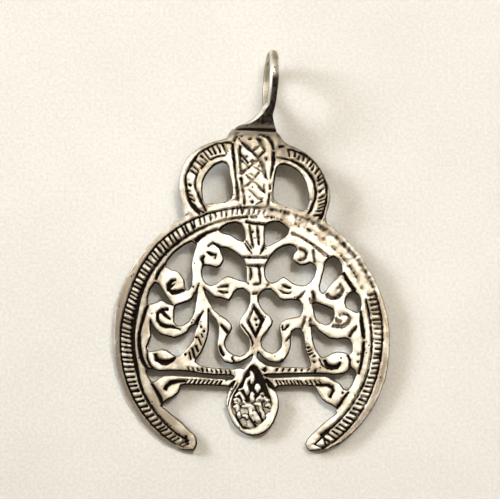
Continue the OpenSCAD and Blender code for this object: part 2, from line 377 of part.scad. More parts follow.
// Short straight cuts: the hatching on the crown and the slanting ropes, and one across each end of the band
// columns: u, v of one end, u, v of the other end, width
CUTS = [
    [-7.3, 31.3, -6.4, 30.1, 0.3],
    [-6.5, 31.7, -5.8, 30.3, 0.3],
    [-5.7, 31.95, -5.0, 30.5, 0.3],
    [-4.75, 32.0, -4.0, 30.2, 0.3],
    [-7.9, 30.75, -6.8, 29.3, 0.25],
    [-8.5, 30.1, -7.1, 28.9, 0.16],
    [-9.3, 29.25, -8.0, 28.25, 0.25],
    [-9.9, 28.5, -8.7, 27.5, 0.16],
    [-10.2, 27.75, -9.0, 26.8, 0.2],
    [-10.3, 25.25, -9.8, 25.0, 0.35],
    [-10.6, 24.25, -10.0, 24.1, 0.2],
    [-10.4, 23.6, -9.6, 23.25, 0.2],
    [-10.3, 23.0, -9.3, 22.4, 0.25],
    [-9.3, 21.4, -7.8, 20.5, 0.25],
    [6.3, 30.9, 6.4, 29.8, 0.3],
    [7.4, 30.7, 7.25, 29.8, 0.35],
    [8.1, 30.0, 7.75, 29.3, 0.3],
    [8.8, 30.0, 8.7, 29.1, 0.3],
    [9.75, 29.7, 9.25, 28.7, 0.3],
    [10.4, 29.2, 9.75, 28.1, 0.25],
    [10.5, 28.4, 10.0, 27.5, 0.3],
    [11.25, 28.0, 10.6, 26.9, 0.35],
    [11.75, 27.1, 11.0, 26.25, 0.3],
    [11.9, 26.4, 11.0, 25.75, 0.25],
    [12.2, 25.8, 11.2, 25.1, 0.3],
    [12.1, 24.6, 11.25, 23.9, 0.25],
    [12.3, 23.4, 11.25, 22.9, 0.2],
    [12.4, 22.85, 11.0, 22.3, 0.2],
    [12.2, 22.1, 11.2, 21.75, 0.2],
    [12.1, 21.6, 11.1, 21.2, 0.25],
    [12.0, 20.9, 10.7, 20.75, 0.2],
    [11.8, 20.2, 10.4, 20.0, 0.35],
    [-8.25, 0.5, -7.9, -0.2, 0.2],
    [-8.75, 0, -8.15, -1.5, 0.25],
    [-9.15, -1.5, -8.65, -2.5, 0.25],
    [-9.75, -1.9, -9.3, -3.6, 0.3],
    [-10.2, -2.5, -9.9, -3.85, 0.3],
    [8.75, -1.25, 9.2, -1.4, 0.2],
    [8.9, -2.0, 9.7, -1.75, 0.2],
    [9.1, -2.6, 10.1, -2.2, 0.25],
    [9.2, -3.15, 10.3, -2.7, 0.25],
    [10.2, -3.4, 10.6, -3.15, 0.16],
    [10.8, -5.4, 10.5, -5.9, 0.3],
    [-10.75, -16.3, -10.6, -17.6, 0.5],
    [10.2, -17.2, 10.9, -18.1, 0.5]
];

// Rope twist on the four level bars
// columns: u, v of the first cut, u, v of the last cut, pitch, half length, slope angle, width
ROPES = [
    [-10.3, -5.35, -3.4, -5.85, 0.78, 0.33, -70, 0.25],
    [-10.6, -7.35, -5.0, -7.65, 0.72, 0.42, 50, 0.25],
    [4.25, -5.5, 9.5, -5.5, 1.05, 0.32, 58, 0.25],
    [4.3, -7.6, 8.4, -7.65, 0.56, 0.42, -55, 0.24],
    [9.2, -7.6, 11.4, -7.6, 0.85, 0.4, -50, 0.26]
];

// Punched dots and casting pits
// columns: u, v, radius
DOTS = [
    [0.8, 2.85, 0.3], [0.9, 1.95, 0.23], [0.2, 17.3, 0.28], [5.1, -4.0, 0.3], [-10.85, -2.95, 0.28],
    [-9.0, -0.1, 0.26], [-8.25, 1.6, 0.24], [-7.75, 0.9, 0.28], [10.4, -4.2, 0.25], [-4.1, -7.25, 0.22],
    [2.3, -5.5, 0.45], [-1.6, 33.4, 0.32], [-2.0, 32.9, 0.25], [-1.75, 32.5, 0.18], [0.25, 29.0, 0.35],
    [-0.7, 29.8, 0.2], [-1.5, 29.1, 0.22], [0.25, 22.3, 0.28], [2.55, 29.5, 0.32], [-1.5, 27.4, 0.2],
    [15.1, -9.3, 0.2], [-9.5, 8.25, 0.17], [-9.8, 2.3, 0.18], [17.7, -4.2, 0.24], [17.7, -3.0, 0.18],
    [-3.25, -9.0, 0.17]
];

// Groove round the lozenge, between two diamonds
// columns: u, v
LOZENGE_OUT = [[0.45, 5.3], [-0.7, 2.4], [0.8, -0.35], [2.3, 2.9]];
LOZENGE_IN = [[0.45, 4.4], [-0.2, 2.65], [0.75, 0.7], [1.55, 2.5]];

// Sunk panel of the drop, and the bosses left standing in it
// columns: u, v
PANEL = [
    [0.4, -4.6], [1.1, -5.0], [1.5, -6.2], [2.2, -7.4], [2.75, -8.7], [3.2, -10.0], [3.55, -11.1], [3.25, -12.2],
    [2.7, -13.25], [1.8, -14.25], [0.8, -15.0], [-0.2, -15.3], [-1.25, -15.2], [-1.9, -14.5], [-2.3, -13.7],
    [-2.9, -12.8], [-3.25, -11.7], [-3.2, -10.5], [-2.9, -9.4], [-2.1, -8.3], [-1.4, -7.2], [-0.9, -5.9],
    [-0.25, -5.0]
];
// columns: u, v, half length, half width, turn
BOSSES = [
    [0.15, -6.9, 1.0, 0.45, 100],
    [-0.75, -8.4, 1.1, 0.5, 80],
    [1.1, -8.5, 0.7, 0.5, 90],
    [0.1, -9.5, 0.55, 0.45, 90],
    [-1.9, -9.4, 0.65, 0.4, 15],
    [1.85, -9.4, 0.35, 0.3, 0],
    [2.35, -10.1, 0.5, 0.45, 40],
    [0.2, -10.35, 0.55, 0.5, 45],
    [1.25, -10.4, 0.55, 0.42, 20],
    [-1.2, -10.3, 0.45, 0.3, 60],
    [-2.3, -10.5, 0.55, 0.5, 45],
    [-2.4, -11.8, 0.5, 0.5, 0],
    [-0.9, -11.5, 0.75, 0.32, 10],
    [1.2, -11.7, 1.2, 0.3, 110],
    [2.8, -11.5, 0.4, 0.35, 0],
    [-2.0, -12.9, 0.45, 0.35, 90],
    [-0.9, -13.1, 0.5, 0.35, 20],
    [0.35, -12.6, 0.85, 0.5, 100],
    [1.85, -13.0, 0.75, 0.3, 120],
    [-0.9, -14.4, 0.9, 0.5, 25],
    [0.9, -14.1, 0.6, 0.45, 60]
];

// Bail: centre of the ring, on the plate's middle plane
bail_u = 3.25;
bail_v = 42.3;
bail_z = plate_t / 2;
// Sides of the ring and of its wire
bail_ring_sides = 72;
bail_wire_sides = 24;
// Width of the flat strip that lines the bail's hole
bail_liner_w = 1.5;

// Flared root of the bail, seen from the front
// columns: u, v
ROOT_FRONT = [
    [-3.0, 33.9], [-2.6, 34.75], [-1.8, 35.15], [-0.9, 35.6], [0.1, 36.2], [1.0, 36.95], [1.65, 37.8], [2.1, 38.6],
    [3.7, 38.6], [3.55, 37.6], [3.65, 36.4], [3.9, 35.2], [4.2, 34.2], [3.6, 33.6], [0, 33.4]
];
// The same root, seen from the side
// columns: v, z from the plate's back
ROOT_SIDE = [
    [33.4, 0.2], [33.4, 1.9], [34.4, 2.0], [35.2, 2.2], [36.2, 2.8], [37.1, 3.5], [37.8, 4.3], [38.35, 3.9],
    [38.05, 2.2], [37.95, 0.95], [38.05, -0.3], [38.3, -1.7], [37.8, -2.2], [37.1, -1.5], [36.2, -0.7],
    [35.2, -0.1], [34.4, 0.1]
];

// Length that both of the root's outlines are run through, more than the root's own size
root_reach = 12;

// At rest the pendant lies on the bail's ring and on the two ends of the crescent
ends_v = -18.95;
rest_reach = bail_v - ends_v;
bail_drop = bail_ring_r * cos(bail_roll) + bail_wire_r;
rest_tilt = asin(bail_drop / sqrt(rest_reach * rest_reach + bail_z * bail_z)) - atan2(bail_z, rest_reach);
rest_lift = -ends_v * sin(rest_tilt);
// Shift that puts the origin under the middle of the pendant
rest_top = bail_v * cos(rest_tilt) - bail_z * sin(rest_tilt) + bail_ring_r * cos(bail_lean) + bail_wire_r;
centre_v = (rest_top + ends_v * cos(rest_tilt)) / 2;
centre_u = 0.1;

// Point on the rim at an angle, for one column of the table
function rim_radius(a, column) = lookup(a, [for (row = RIM) [row[0], row[column]]]);
function polar(r, a) = [r * cos(a), r * sin(a)];

// Midpoint of a smooth curve between b and c, with a before and d after
function between(a, b, c, d) = (9 * (b + c) - a - d) / 16;

// Closed outline with a smooth midpoint added on every long side
function smooth_loop(p) = let (n = len(p)) [
    for (i = [0:n - 1], k = [0, 1])
        if (k == 0 || norm(p[(i + 1) % n] - p[i]) > long_side)
            k == 0 ? p[i] : between(p[(i + n - 1) % n], p[i], p[(i + 1) % n], p[(i + 2) % n])
];

// Open stroke with a smooth midpoint added on every long stretch
function smooth_stroke(p) = let (last = len(p) - 1) [
    for (i = [0:last], k = [0, 1])
        if (k == 0 || (i < last && norm(p[i + 1] - p[i]) > long_side))
            k == 0 ? p[i] : between(p[max(i - 1, 0)], p[i], p[i + 1], p[min(i + 2, last)])
];

// Unit normal of a stroke at point i
function stroke_normal(p, i) =
    let (last = len(p) - 1)
    let (d = p[min(i + 1, last)] - p[max(i - 1, 0)])
    [-d[1], d[0]] / norm([d[0], d[1]]);

// Outline of a stroke whose rows hold u, v and width
function ribbon(p) = concat(
    [for (i = [0:len(p) - 1]) [p[i][0], p[i][1]] + stroke_normal(p, i) * p[i][2] / 2],
    [for (i = [len(p) - 1:-1:0]) [p[i][0], p[i][1]] - stroke_normal(p, i) * p[i][2] / 2]
);

module strokes(rows) {
    for (row = rows) polygon(ribbon(smooth_stroke(row)));
}

// Straight cut from one point to another
module cut(from, to, w) {
    polygon(ribbon([[from[0], from[1], w], [to[0], to[1], w]]));
}

// Groove along the band that follows one column of the rim's table
module rim_groove(from, to, column, w) {
    steps = max(1, round((to - from) / rim_step));
    angles = [for (i = [0:steps]) from + (to - from) * i / steps];
    polygon(ribbon([for (a = angles) let (p = polar(rim_radius(a, column), a)) [p[0], p[1], w]]));
}

// Cuts across one stretch of the band, leaning towards the crescent's ends
module band_cuts(row) {
    mid_r = rim_radius((row[0] + row[1]) / 2, RIM_OUTER_GROOVE);
    pitch_angle = row[2] / mid_r * 180 / PI;
    count = floor((row[1] - row[0]) / pitch_angle);
    drift = rands(-hand_wander, hand_wander, count + 1, row[0] + hatch_seed);
    for (i = [0:count]) {
        a = row[0] + (i + drift[i]) * pitch_angle;
        outer = polar(rim_radius(a, RIM_OUTER_GROOVE) + hatch_overrun, a);
        inner_r = rim_radius(a, RIM_INNER_GROOVE) + row[4];
        span = norm(outer) - inner_r;
        cut(outer, outer - span * polar(1, a - row[3]), band_cut_w * row[5]);
    }
}

// Twist of one rope bar
module rope_cuts(row) {
    first = [row[0], row[1]];
    last = [row[2], row[3]];
    count = round(norm(last - first) / row[4]);
    reach = polar(row[5], row[6]);
    for (i = [0:count]) {
        middle = first + (last - first) * i / count;
        cut(middle - reach, middle + reach, row[7]);
    }
}

module crescent_disc() {
    first = RIM[0][0];
    last = RIM[len(RIM) - 1][0];
    steps = round((last - first) / rim_step);
    polygon([for (i = [0:steps]) let (a = first + (last - first) * i / steps) polar(rim_radius(a, RIM_OUT), a)]);
}

// The pendant's outline with every gap sawn through
module plate_outline() {
    difference() {
        union() {
            crescent_disc();
            polygon(smooth_loop(CROWN));
        }
        polygon(smooth_loop(MOUTH));
        for (hole = PIERCINGS) polygon(smooth_loop(hole));
    }
}

// Every groove, cut and dot of the face
module chasing() {
    for (row = OUTER_DASHES) rim_groove(row[0], row[1], RIM_OUTER_GROOVE, frame_groove_w * row[2]);
    for (row = INNER_DASHES) rim_groove(row[0], row[1], RIM_INNER_GROOVE, frame_groove_w * row[2]);
    for (row = BAND_CUTS) band_cuts(row);
    for (row = ROPES) rope_cuts(row);
    for (row = CUTS) cut([row[0], row[1]], [row[2], row[3]], row[4]);
    for (row = DOTS) translate([row[0], row[1]]) circle(r = row[2], $fn = diamond_sides);
    strokes(RECESSES);
    strokes(SCROLL_LINES);
    strokes(CROWN_LINES);
    difference() {
        polygon(LOZENGE_OUT);
        polygon(LOZENGE_IN);
    }
    polygon(smooth_loop(PANEL));
}

// Faceted bosses that stand in the drop's sunk panel
module bosses() {
    for (row = BOSSES)
        translate([row[0], row[1], face_bottom])
            rotate(row[4])
                linear_extrude(plate_t - face_bottom, scale = boss_top)
                    scale([row[2], row[3]])
                        circle(r = 1, $fn = diamond_sides);
}

// Plate in two layers: the sawn base, and the face with its chasing
module plate_layers() {
    bosses();
    linear_extrude(base_top)
        offset(delta = clean)
            offset(delta = -clean)
                plate_outline();
    translate([0, 0, face_bottom])
        linear_extrude(plate_t - face_bottom)
            offset(delta = clean)
                difference() {
                    offset(delta = -face_inset - clean) plate_outline();
                    chasing();
                }
}

module plate() {
    resize([0, 0, plate_t]) plate_layers();
}

// Ring of the bail: round outside, with a flat wall round its hole
module bail_ring() {
    translate([bail_u, bail_v, bail_z])
        rotate([0, 0, -bail_lean])
            rotate([0, bail_roll, 0])
                rotate([0, 90, 0])
                    rotate_extrude($fn = bail_ring_sides)
                        union() {
                            translate([bail_ring_r, 0]) circle(r = bail_wire_r, $fn = bail_wire_sides);
                            translate([bail_hole_r, -bail_liner_w / 2])
                                square([bail_ring_r - bail_hole_r, bail_liner_w]);
                        }
}

// Fishtail that joins the ring to the crown: its front and side outlines, each run past the other's reach
module bail_root() {
    intersection() {
        translate([0, 0, -root_reach / 2]) linear_extrude(root_reach) polygon(ROOT_FRONT);
        translate([-root_reach / 2, 0, 0])
            rotate([90, 0, 90])
                linear_extrude(root_reach)
                    polygon(ROOT_SIDE);
    }
}

module pendant() {
    color(cast_silver)
        translate([-centre_u, -centre_v, rest_lift])
            rotate([rest_tilt, 0, 0])
                union() {
                    plate();
                    bail_ring();
                    bail_root();
                }
}

pendant();
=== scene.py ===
"""Openwork crescent pendant of cast silver, lying face up on a pale floor."""

import math

import bpy
import numpy as np
from mathutils import Matrix, Vector


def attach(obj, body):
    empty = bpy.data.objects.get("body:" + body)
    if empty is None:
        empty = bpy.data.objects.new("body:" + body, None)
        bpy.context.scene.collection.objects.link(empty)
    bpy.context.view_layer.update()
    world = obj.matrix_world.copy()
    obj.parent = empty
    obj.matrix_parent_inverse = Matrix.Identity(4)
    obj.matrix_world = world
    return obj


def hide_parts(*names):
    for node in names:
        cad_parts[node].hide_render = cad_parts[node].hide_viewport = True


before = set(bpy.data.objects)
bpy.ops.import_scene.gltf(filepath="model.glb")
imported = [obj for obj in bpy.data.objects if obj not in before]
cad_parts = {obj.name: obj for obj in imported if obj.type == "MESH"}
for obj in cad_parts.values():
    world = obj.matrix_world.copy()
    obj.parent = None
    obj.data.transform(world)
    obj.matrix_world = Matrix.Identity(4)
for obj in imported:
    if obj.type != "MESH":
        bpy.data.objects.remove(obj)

bl_info = {
    "name": "Openwork crescent pendant",
    "version": (1, 0, 0),
    "blender": (4, 5, 0),
    "location": "3D View > Sidebar > Pendant",
    "description": "Softens, chases and ages the cast pendant, and lights it on a pale floor",
    "category": "Add Mesh",
}

MM = 0.001
NODE = "pendant"

# Plate, in millimetres from the crescent's centre on the plate's back: u right, v up, z out of the face
PLATE_T = 1.9
GROOVE_FLOOR = 1.3
CENTRE_U = -0.1
CENTRE_V = -14.377
ROOT_START = 33.3
ROOT_END = 34.3

# How far a flat face may be off its level, how nearly the plate's back faces down, and the gap, in metres, across
# which the corners of the solid's mesh are merged
LEVEL_SLACK = 0.02
FACING_DOWN = -0.95
MERGE_GAP = 1e-7

# Maps of the face: size of their cells, their limits, and how far they look for strokes, openings and grooves
CELL = 0.05
MAP_U = (-24.0, 24.0)
MAP_V = (-20.5, 37.0)
STROKE_REACH = 0.8
GAP_REACH = 1.5
GROOVE_REACH = 1.0
INSIDE_REACH = 0.6
WIDENING_REACH = 0.3

# Least distance from an opening to a groove, as it was cut and as it has worn
BORDER = 0.1
WORN_BORDER = 0.2

# Seeded noise over the maps: pairs of the size of its features and their share
SHAPE_SEED = 7
WAVES = ((2.6, 0.6), (1.1, 0.4))
GRAIN = ((0.35, 1),)
LUMPS = ((0.7, 1),)
STREAKS = ((0.15, 1),)
PATCHES = ((5.0, 0.5), (1.8, 0.45), (0.8, 0.35))
NOISE_SCALE = 0.8

# How much the streaks are stretched along the crescent's band, at its middle, and across it
BAND_R = 20.75
STREAK_ALONG = 2.2
STREAK_ACROSS = 4

# Regions of the face. Radii are from the crescent's centre and angles in degrees, anticlockwise from the right. Four
# values are where a region starts, is full, begins to fade and is gone; two are its limits, or where it starts and
# is full. LEFT_SIDE and INNER_GROOVE_LEFT run leftwards, and FACET_ARC clockwise
HATCHED_R = (19.9, 21.7)
BAND_LIMITS = (17.0, 22.0)
RIM_GROOVE_R = 21.75
RIM_BLEND = 0.3
RIM_OUTER_R = 22.9
FACET_ARC = (118, 126, 168, 178)
CROWN_FOOT = 19.0
CROWN_R = 22.4
LEFT_SIDE = (-4, 14)
LOW_PART = (2, 17)
LOWER_LEFT_ARC = (175, 235, 250, 262)
LOWER_RIGHT_U = (3, 9)
LOWER_RIGHT_V = (-6, 3)
LEFT_TIP_ARC = (228, 232, 240, 250)
LEFT_TIP_R = 19.0
INNER_GROOVE_R = (19.2, 19.95)
INNER_GROOVE_LEFT = (6, 13)
INNER_GROOVE_WEAR = 0.13
STEM_HALF = 2.4
STEM_V = (-1, 3, 17, 19)

# Rubbed right shoulder, with the brown smear along its rim and the row of dots inside it
SHOULDER_ARC = (16, 30, 76, 92)
SHOULDER_INNER_R = (18.6, 19.6)
SHOULDER_OUTER_R = (22.3, 22.8)
SMEAR_R = 21.65
SMEAR_HALF = 0.4
DOTS_R = 20.05
DOTS_HALF = 0.13
WOBBLE = 0.1

# Where the shoulder turns steep, and how far it narrows and its smear moves in there
STEEP_ARC = (58, 74)
STEEP_NARROWING = 0.5
STEEP_SHIFT = 0.35

# Grooves that are worn or filled, and so less black than the others
TOP_CUTS_ARC = (60, 80, 96, 125)
CROWN_CUTS_V = 23.0
TONGUE_HALF = 2.6
RIGHT_CUTS_U = (12, 18)
RIGHT_CUTS_R = 19.0
LEFT_END_ARC = (231, 236)
LEFT_END_LAST = 246
SHOULDER_LINE_ARC = (42, 48, 76, 82)
SHOULDER_LINE_R = (18.0, 19.8)
RIGHT_SCROLL_U = (6, 9)
RIGHT_SCROLL_V = (-3, 0)
RIGHT_SCROLL_R = (18, 18.3)
RIGHT_SCROLL_TOP = 15.0
UPPER_LEFT_ARC = (92, 105, 145, 165)
UPPER_LEFT_R = (18.8, 20.3)

# Brown and dull places; the dull band below the bail's root is painted shadow of the root, over brown wear
CROWN_BROWN_U = (-2, 5)
CROWN_BROWN_V = (27, 31)
BAIL_BROWN_V = (30.6, 32.5)
RIM_BROWN_ARC = (100, 115, 160, 175)
BAIL_DULL_AND_SHADOW_V = (32.6, 33.8)
CROWN_DULL_U = (3, 4.5, 9, 11)
CROWN_DULL_V = (28.8, 29.6)
BAND_DULL_R = 17.5

# How much of the shade falls on an edge that faces down, and on one that faces right
SHADE_DOWN = 0.75
SHADE_RIGHT = 0.45

# Relief: heights and depths in millimetres, and how far in from an opening or a groove each reaches
LIP_ROUND = 0.13
LIP_SHARE = 0.8
LIP_LEAD = 0.15
EDGE_DIP = 0.1
EDGE_DIP_REACH = 0.6
RIM_REACH = 1.25
BEAD_HEIGHT = 0.16
BEAD_IN = 0.16
BEAD_HALF = 0.12
FACET_REACH = 0.75
FACET_SLOPE = 0.8
FACET_BLEND = (0, 0.1)
CROWN_FALL = 0.25
CROWN_REACH = 0.8
LUMP_HEIGHT = 0.012
SHOULDER_WEAR = 0.12
GROOVE_START = 0.16
GRAIN_HEIGHT = 0.03
PANEL_WALL = 0.12
PANEL_RISE = 0.05
PANEL_FOOT_RISE = 0.28
FIGURE_DROP = 0.03
FIGURE_SLOPE = 0.6
FIGURE_ROUND = 0.1
FIGURE_EDGE = -0.06
PANEL_LINE_DEPTH = 0.35
CROWN_LINE_DEPTH = 0.22
END_LINE_DEPTH = 0.4

# Edge of a stroke, from just outside it to just inside: of the fine lines, and of those in the panel
STROKE_EDGE = (-0.08, 0.06)
PANEL_LINE_EDGE = (-0.08, 0.05)

# Crown's two eyes: point halfway between them, how far each lies to its side, and the radius of the flat round each
EYE_MIDDLE = (0.9, 25.7)
EYE_SPACING = 6.3
EYE_REACH = 4.0

# Sunk panel in the drop: its middle, how it widens below its top, and how far down its ground turns from black to
# worn and paler
PANEL_U = 0.25
PANEL_TOP = -4.4
PANEL_TOP_HALF = 0.4
PANEL_WIDENING = 0.62
PANEL_HALF = 3.8
PANEL_CHANGE = (9.8, 11.8)

# Worn figures that stand in the panel, one stroke each: u, v and half width along it
PANEL_FIGURES = [
    [(0.0, -5.8, 0.13), (0.2, -6.3, 0.3), (0.25, -7.0, 0.37), (0.15, -7.6, 0.2)],
    [(-0.1, -6.8, 0.25), (-0.6, -7.1, 0.25), (-0.85, -7.7, 0.22), (-0.85, -8.4, 0.43), (-0.65, -9.0, 0.37),
     (-0.65, -9.5, 0.13)],
    [(1.1, -8.1, 0.33), (1.1, -8.5, 0.47), (1.1, -9.1, 0.13)],
    [(0.15, -9.2, 0.1), (0.2, -9.5, 0.35)],
    [(1.65, -9.45, 0.12), (1.9, -9.4, 0.2), (2.1, -9.6, 0.1)],
    [(-2.5, -9.75, 0.15), (-1.9, -9.25, 0.2), (-1.5, -9.75, 0.2), (-1.2, -10.3, 0.23)],
    [(-2.0, -8.8, 0.1), (-1.4, -8.6, 0.13)],
    [(0.15, -10.05, 0.35), (0.25, -10.4, 0.33)],
    [(1.0, -10.5, 0.2), (1.3, -10.2, 0.25), (1.5, -10.5, 0.2)],
    [(1.5, -9.8, 0.13), (1.9, -10.3, 0.15)],
    [(2.3, -10.1, 0.2), (2.6, -10.5, 0.25), (2.9, -10.5, 0.17)],
    [(-2.7, -10.4, 0.15), (-2.4, -10.25, 0.15), (-2.05, -10.35, 0.15), (-1.85, -10.7, 0.15)],
    [(-2.6, -10.8, 0.13), (-2.25, -11.0, 0.15)],
    [(-2.7, -11.6, 0.17), (-2.3, -11.55, 0.33), (-2.15, -11.9, 0.33), (-2.25, -12.2, 0.17)],
    [(-1.95, -12.6, 0.17), (-2.05, -13.0, 0.27), (-1.9, -13.25, 0.2)],
    [(-1.35, -11.5, 0.13), (-0.75, -11.5, 0.18), (-0.35, -11.5, 0.22), (-0.1, -12.0, 0.27), (0.0, -12.5, 0.22),
     (0.0, -13.2, 0.23), (0.3, -13.8, 0.22)],
    [(-1.2, -10.75, 0.15), (-0.8, -11.1, 0.13), (-0.2, -11.25, 0.17), (0.35, -11.65, 0.2), (0.5, -11.9, 0.2)],
    [(0.8, -11.1, 0.18), (1.4, -11.15, 0.23), (1.6, -11.65, 0.2), (1.65, -12.2, 0.17), (2.0, -12.7, 0.22),
     (2.05, -13.3, 0.22), (2.0, -13.7, 0.13)],
    [(2.5, -11.4, 0.13), (2.9, -11.2, 0.17), (3.15, -11.6, 0.13)],
    [(-1.2, -13.05, 0.17), (-0.85, -13.0, 0.2), (-0.6, -13.35, 0.22)],
    [(3.0, -12.7, 0.17), (2.6, -13.1, 0.13), (3.0, -13.2, 0.17)],
    [(0.6, -12.6, 0.3), (0.9, -13.2, 0.4), (1.2, -13.8, 0.4)],
]

# Lines cut in the panel's worn foot: u, v and half width along each
PANEL_LINES = [
    [(-0.3, -13.3, 0.15), (0.2, -14.0, 0.17), (0.75, -14.75, 0.2)],
    [(0.6, -11.6, 0.1), (1.1, -12.5, 0.12), (1.7, -13.5, 0.15), (2.2, -14.0, 0.2)],
    [(-2.5, -12.8, 0.12), (-2.2, -13.6, 0.15), (-1.8, -14.4, 0.2), (-1.4, -15.0, 0.22), (-0.3, -15.2, 0.15)],
    [(-1.1, -13.4, 0.1), (-0.7, -13.8, 0.12)],
    [(1.6, -14.5, 0.15), (1.75, -14.6, 0.12)],
    [(0.8, -15.0, 0.06), (1.5, -14.9, 0.1)],
]

# Fine cuts of the crown, on its tongue and then down its left arch: u, v and half width along each
CROWN_LINES = [
    [(0.8, 28.9, 0.09), (1.5, 29.5, 0.09)],
    [(0.4, 28.1, 0.06), (1.9, 27.3, 0.08), (2.8, 26.0, 0.12)],
    [(-0.1, 27.0, 0.09), (0.8, 26.4, 0.09)],
    [(-1.6, 29.2, 0.1), (-0.7, 28.4, 0.1), (-0.2, 27.9, 0.08)],
    [(0.3, 25.8, 0.08), (1.5, 24.8, 0.1), (2.3, 23.9, 0.14)],
    [(-2.3, 33.6, 0.12), (-1.5, 33.95, 0.16), (-0.4, 34.0, 0.12), (0.9, 33.8, 0.15), (2.2, 33.3, 0.22)],
    [(-8.25, 30.2, 0.07), (-7.8, 29.6, 0.09)],
    [(-7.6, 29.5, 0.08), (-7.2, 29.0, 0.12)],
    [(-8.5, 29.3, 0.05), (-7.8, 28.6, 0.08)],
    [(-9.9, 28.8, 0.2), (-9.75, 28.55, 0.18)],
    [(-8.9, 27.65, 0.1), (-8.65, 27.25, 0.1)],
    [(-10.3, 26.0, 0.08), (-10.2, 25.9, 0.08)],
    [(-10.5, 24.25, 0.12), (-10.1, 24.1, 0.1)],
    [(-10.4, 23.5, 0.12), (-9.65, 23.25, 0.07)],
    [(-10.4, 23.15, 0.18), (-9.4, 22.5, 0.09)],
    [(-9.65, 21.5, 0.15), (-9.0, 21.25, 0.1)],
    [(-9.0, 20.85, 0.14), (-7.85, 20.5, 0.1)],
]

# Lines that close the frame at the crescent's right end: u, v and half width along each. The solid's short cut that
# they replace is left out within a reach of its middle
END_LINES = [
    [(12.9, -15.6, 0.1), (11.7, -16.6, 0.17), (10.5, -17.75, 0.14)],
    [(10.5, -17.75, 0.12), (11.3, -18.15, 0.09), (12.4, -18.2, 0.12)],
    [(12.0, -16.6, 0.12), (12.4, -18.1, 0.16)],
]
END_CUT = (10.8, -17.7)
END_CUT_REACH = 0.95

# Black seam where the bail's root meets the crown: u, v and half width along it, its depth, and its edge from just
# outside to just inside, in the skin and in the black
ROOT_SEAM = [[(-2.2, 34.35, 0.05), (-0.9, 34.4, 0.15), (1.2, 34.3, 0.22), (3.9, 34.2, 0.25)]]
SEAM_DEPTH = 0.3
SEAM_EDGE = (-0.2, 0.1)
SEAM_BLACK_EDGE = (-0.15, 0.05)

# Bail, along v: its face, painted dark with shade where it turns away from the light, runs from the seam up to the
# bright stretch, its top is brown, and its root is smoothed in so many rounds, by levels that fade to either end
DARK_FACE = (34.4, 43.2)
BROWN_TOP = 45.6
ROOT_BLEND = (34.8, 39.5)
BLEND_LEVELS = 5
BLEND_ROUNDS = 60

# Left edge of the bail's root, filed to a bright facet: v and u along it, and the facet's width and slope. The
# root's right edge, and how far its face falls to either side
ROOT_EDGE_V = (35.1, 35.6, 36.2, 36.95, 37.8, 38.6)
ROOT_EDGE_U = (-1.9, -0.9, 0.1, 1.0, 1.65, 2.1)
ROOT_FACET = 1.0
FILED_SLOPE = 0.6
ROOT_RIGHT_U = 3.7
ROOT_ROUND = 0.55

# Heights over the plate's back from which the seam, the root's form and the ring's marks set in
SEAM_Z = (1.0, 1.6)
ROOT_Z = (1.0, 1.8)
RING_Z = (1.0, 2.5)

# Skin: rounds of smoothing, how far below the face a wall begins and is full, and the walls' patina and painted shade
SKIN_ROUNDS = 2
WALL_DROP = (0.25, 0.6)
WALL_PATINA_AND_SHADE = {"tarnish_and_shade": 0, "rubbed": 0, "grime_and_shade": 0, "shade": 0.9}

# Materials: features a metre of each noise, radius of a pinhole as a share of its cell, and height of the relief
BLOTCH_SCALE = 420
MOTTLE_SCALE = 1500
SPECK_SCALE = 4200
PINHOLE_SCALE = 900
PINHOLE_R = (0.1, 0.17)
PAPER_GRAIN_SCALE = 2000
PAPER_CLOUD_SCALE = 45
SILVER_RELIEF = 0.00018
PAPER_RELIEF = 0.0002

# Sockets of the Mix node that stand for its share, its two colours and its result
MIX_SHARE = 0
MIX_FIRST = 6
MIX_SECOND = 7
MIX_RESULT = 2

# Stage: colours of the room's light, low and high, and the floor's size in metres
ROOM_LOW = (0.08, 0.052, 0.03)
ROOM_HIGH = (1, 0.84, 0.6)
FLOOR_SIZE = 6

# Camera: photograph's width in pixels with the size of one, the point at its middle in the frame's millimetres, the
# sensor's width and the nearest distance seen
PHOTO_W = 500
PHOTO_MM_PER_PIXEL = 0.1655
PHOTO_MIDDLE = (-0.27, -0.14, 4.4)
SENSOR_MM = 36
NEAREST_SEEN = 0.01


def number(name, description, **limits):
    """A number among the settings."""
    return bpy.props.FloatProperty(name=name, description=description, **limits)


def tint(name, description, default):
    """A colour among the settings."""
    return bpy.props.FloatVectorProperty(
        name=name, description=description, subtype="COLOR", size=3, min=0, max=1, default=default)


class PendantShape(bpy.types.PropertyGroup):
    """How the casting's skin is rebuilt and worn"""

    voxel_mm: number("Voxel", "Size of the cells that the casting's skin is rebuilt from, in millimetres",
                     default=0.1, min=0.08, max=0.3)
    groove_depth_mm: number("Groove depth", "Depth of the widest grooves, in millimetres",
                            default=0.75, min=0.2, max=1.0)
    groove_slope: number("Groove slope", "Fall of a groove's side for each millimetre in from its edge",
                         default=2.2, min=0.5, max=4)
    groove_widen_mm: number("Groove widening", "How far wear has opened each groove to either side, in millimetres",
                            default=0.05, min=0.01, max=0.2)
    edge_round_mm: number("Edge rounding", "Radius of the worn edges along the openings, in millimetres",
                          default=0.34, min=0.1, max=0.6)
    rim_fall_mm: number("Rim fall", "How far the outer rim slopes down, in millimetres", default=0.3, min=0, max=1)
    unevenness_mm: number("Unevenness", "Height of the casting's low waves, in millimetres",
                          default=0.045, min=0, max=0.2)
    triangle_limit: bpy.props.IntProperty(
        name="Triangles", description="Most triangles that the finished piece may have", default=190000, min=20000,
        max=199000)


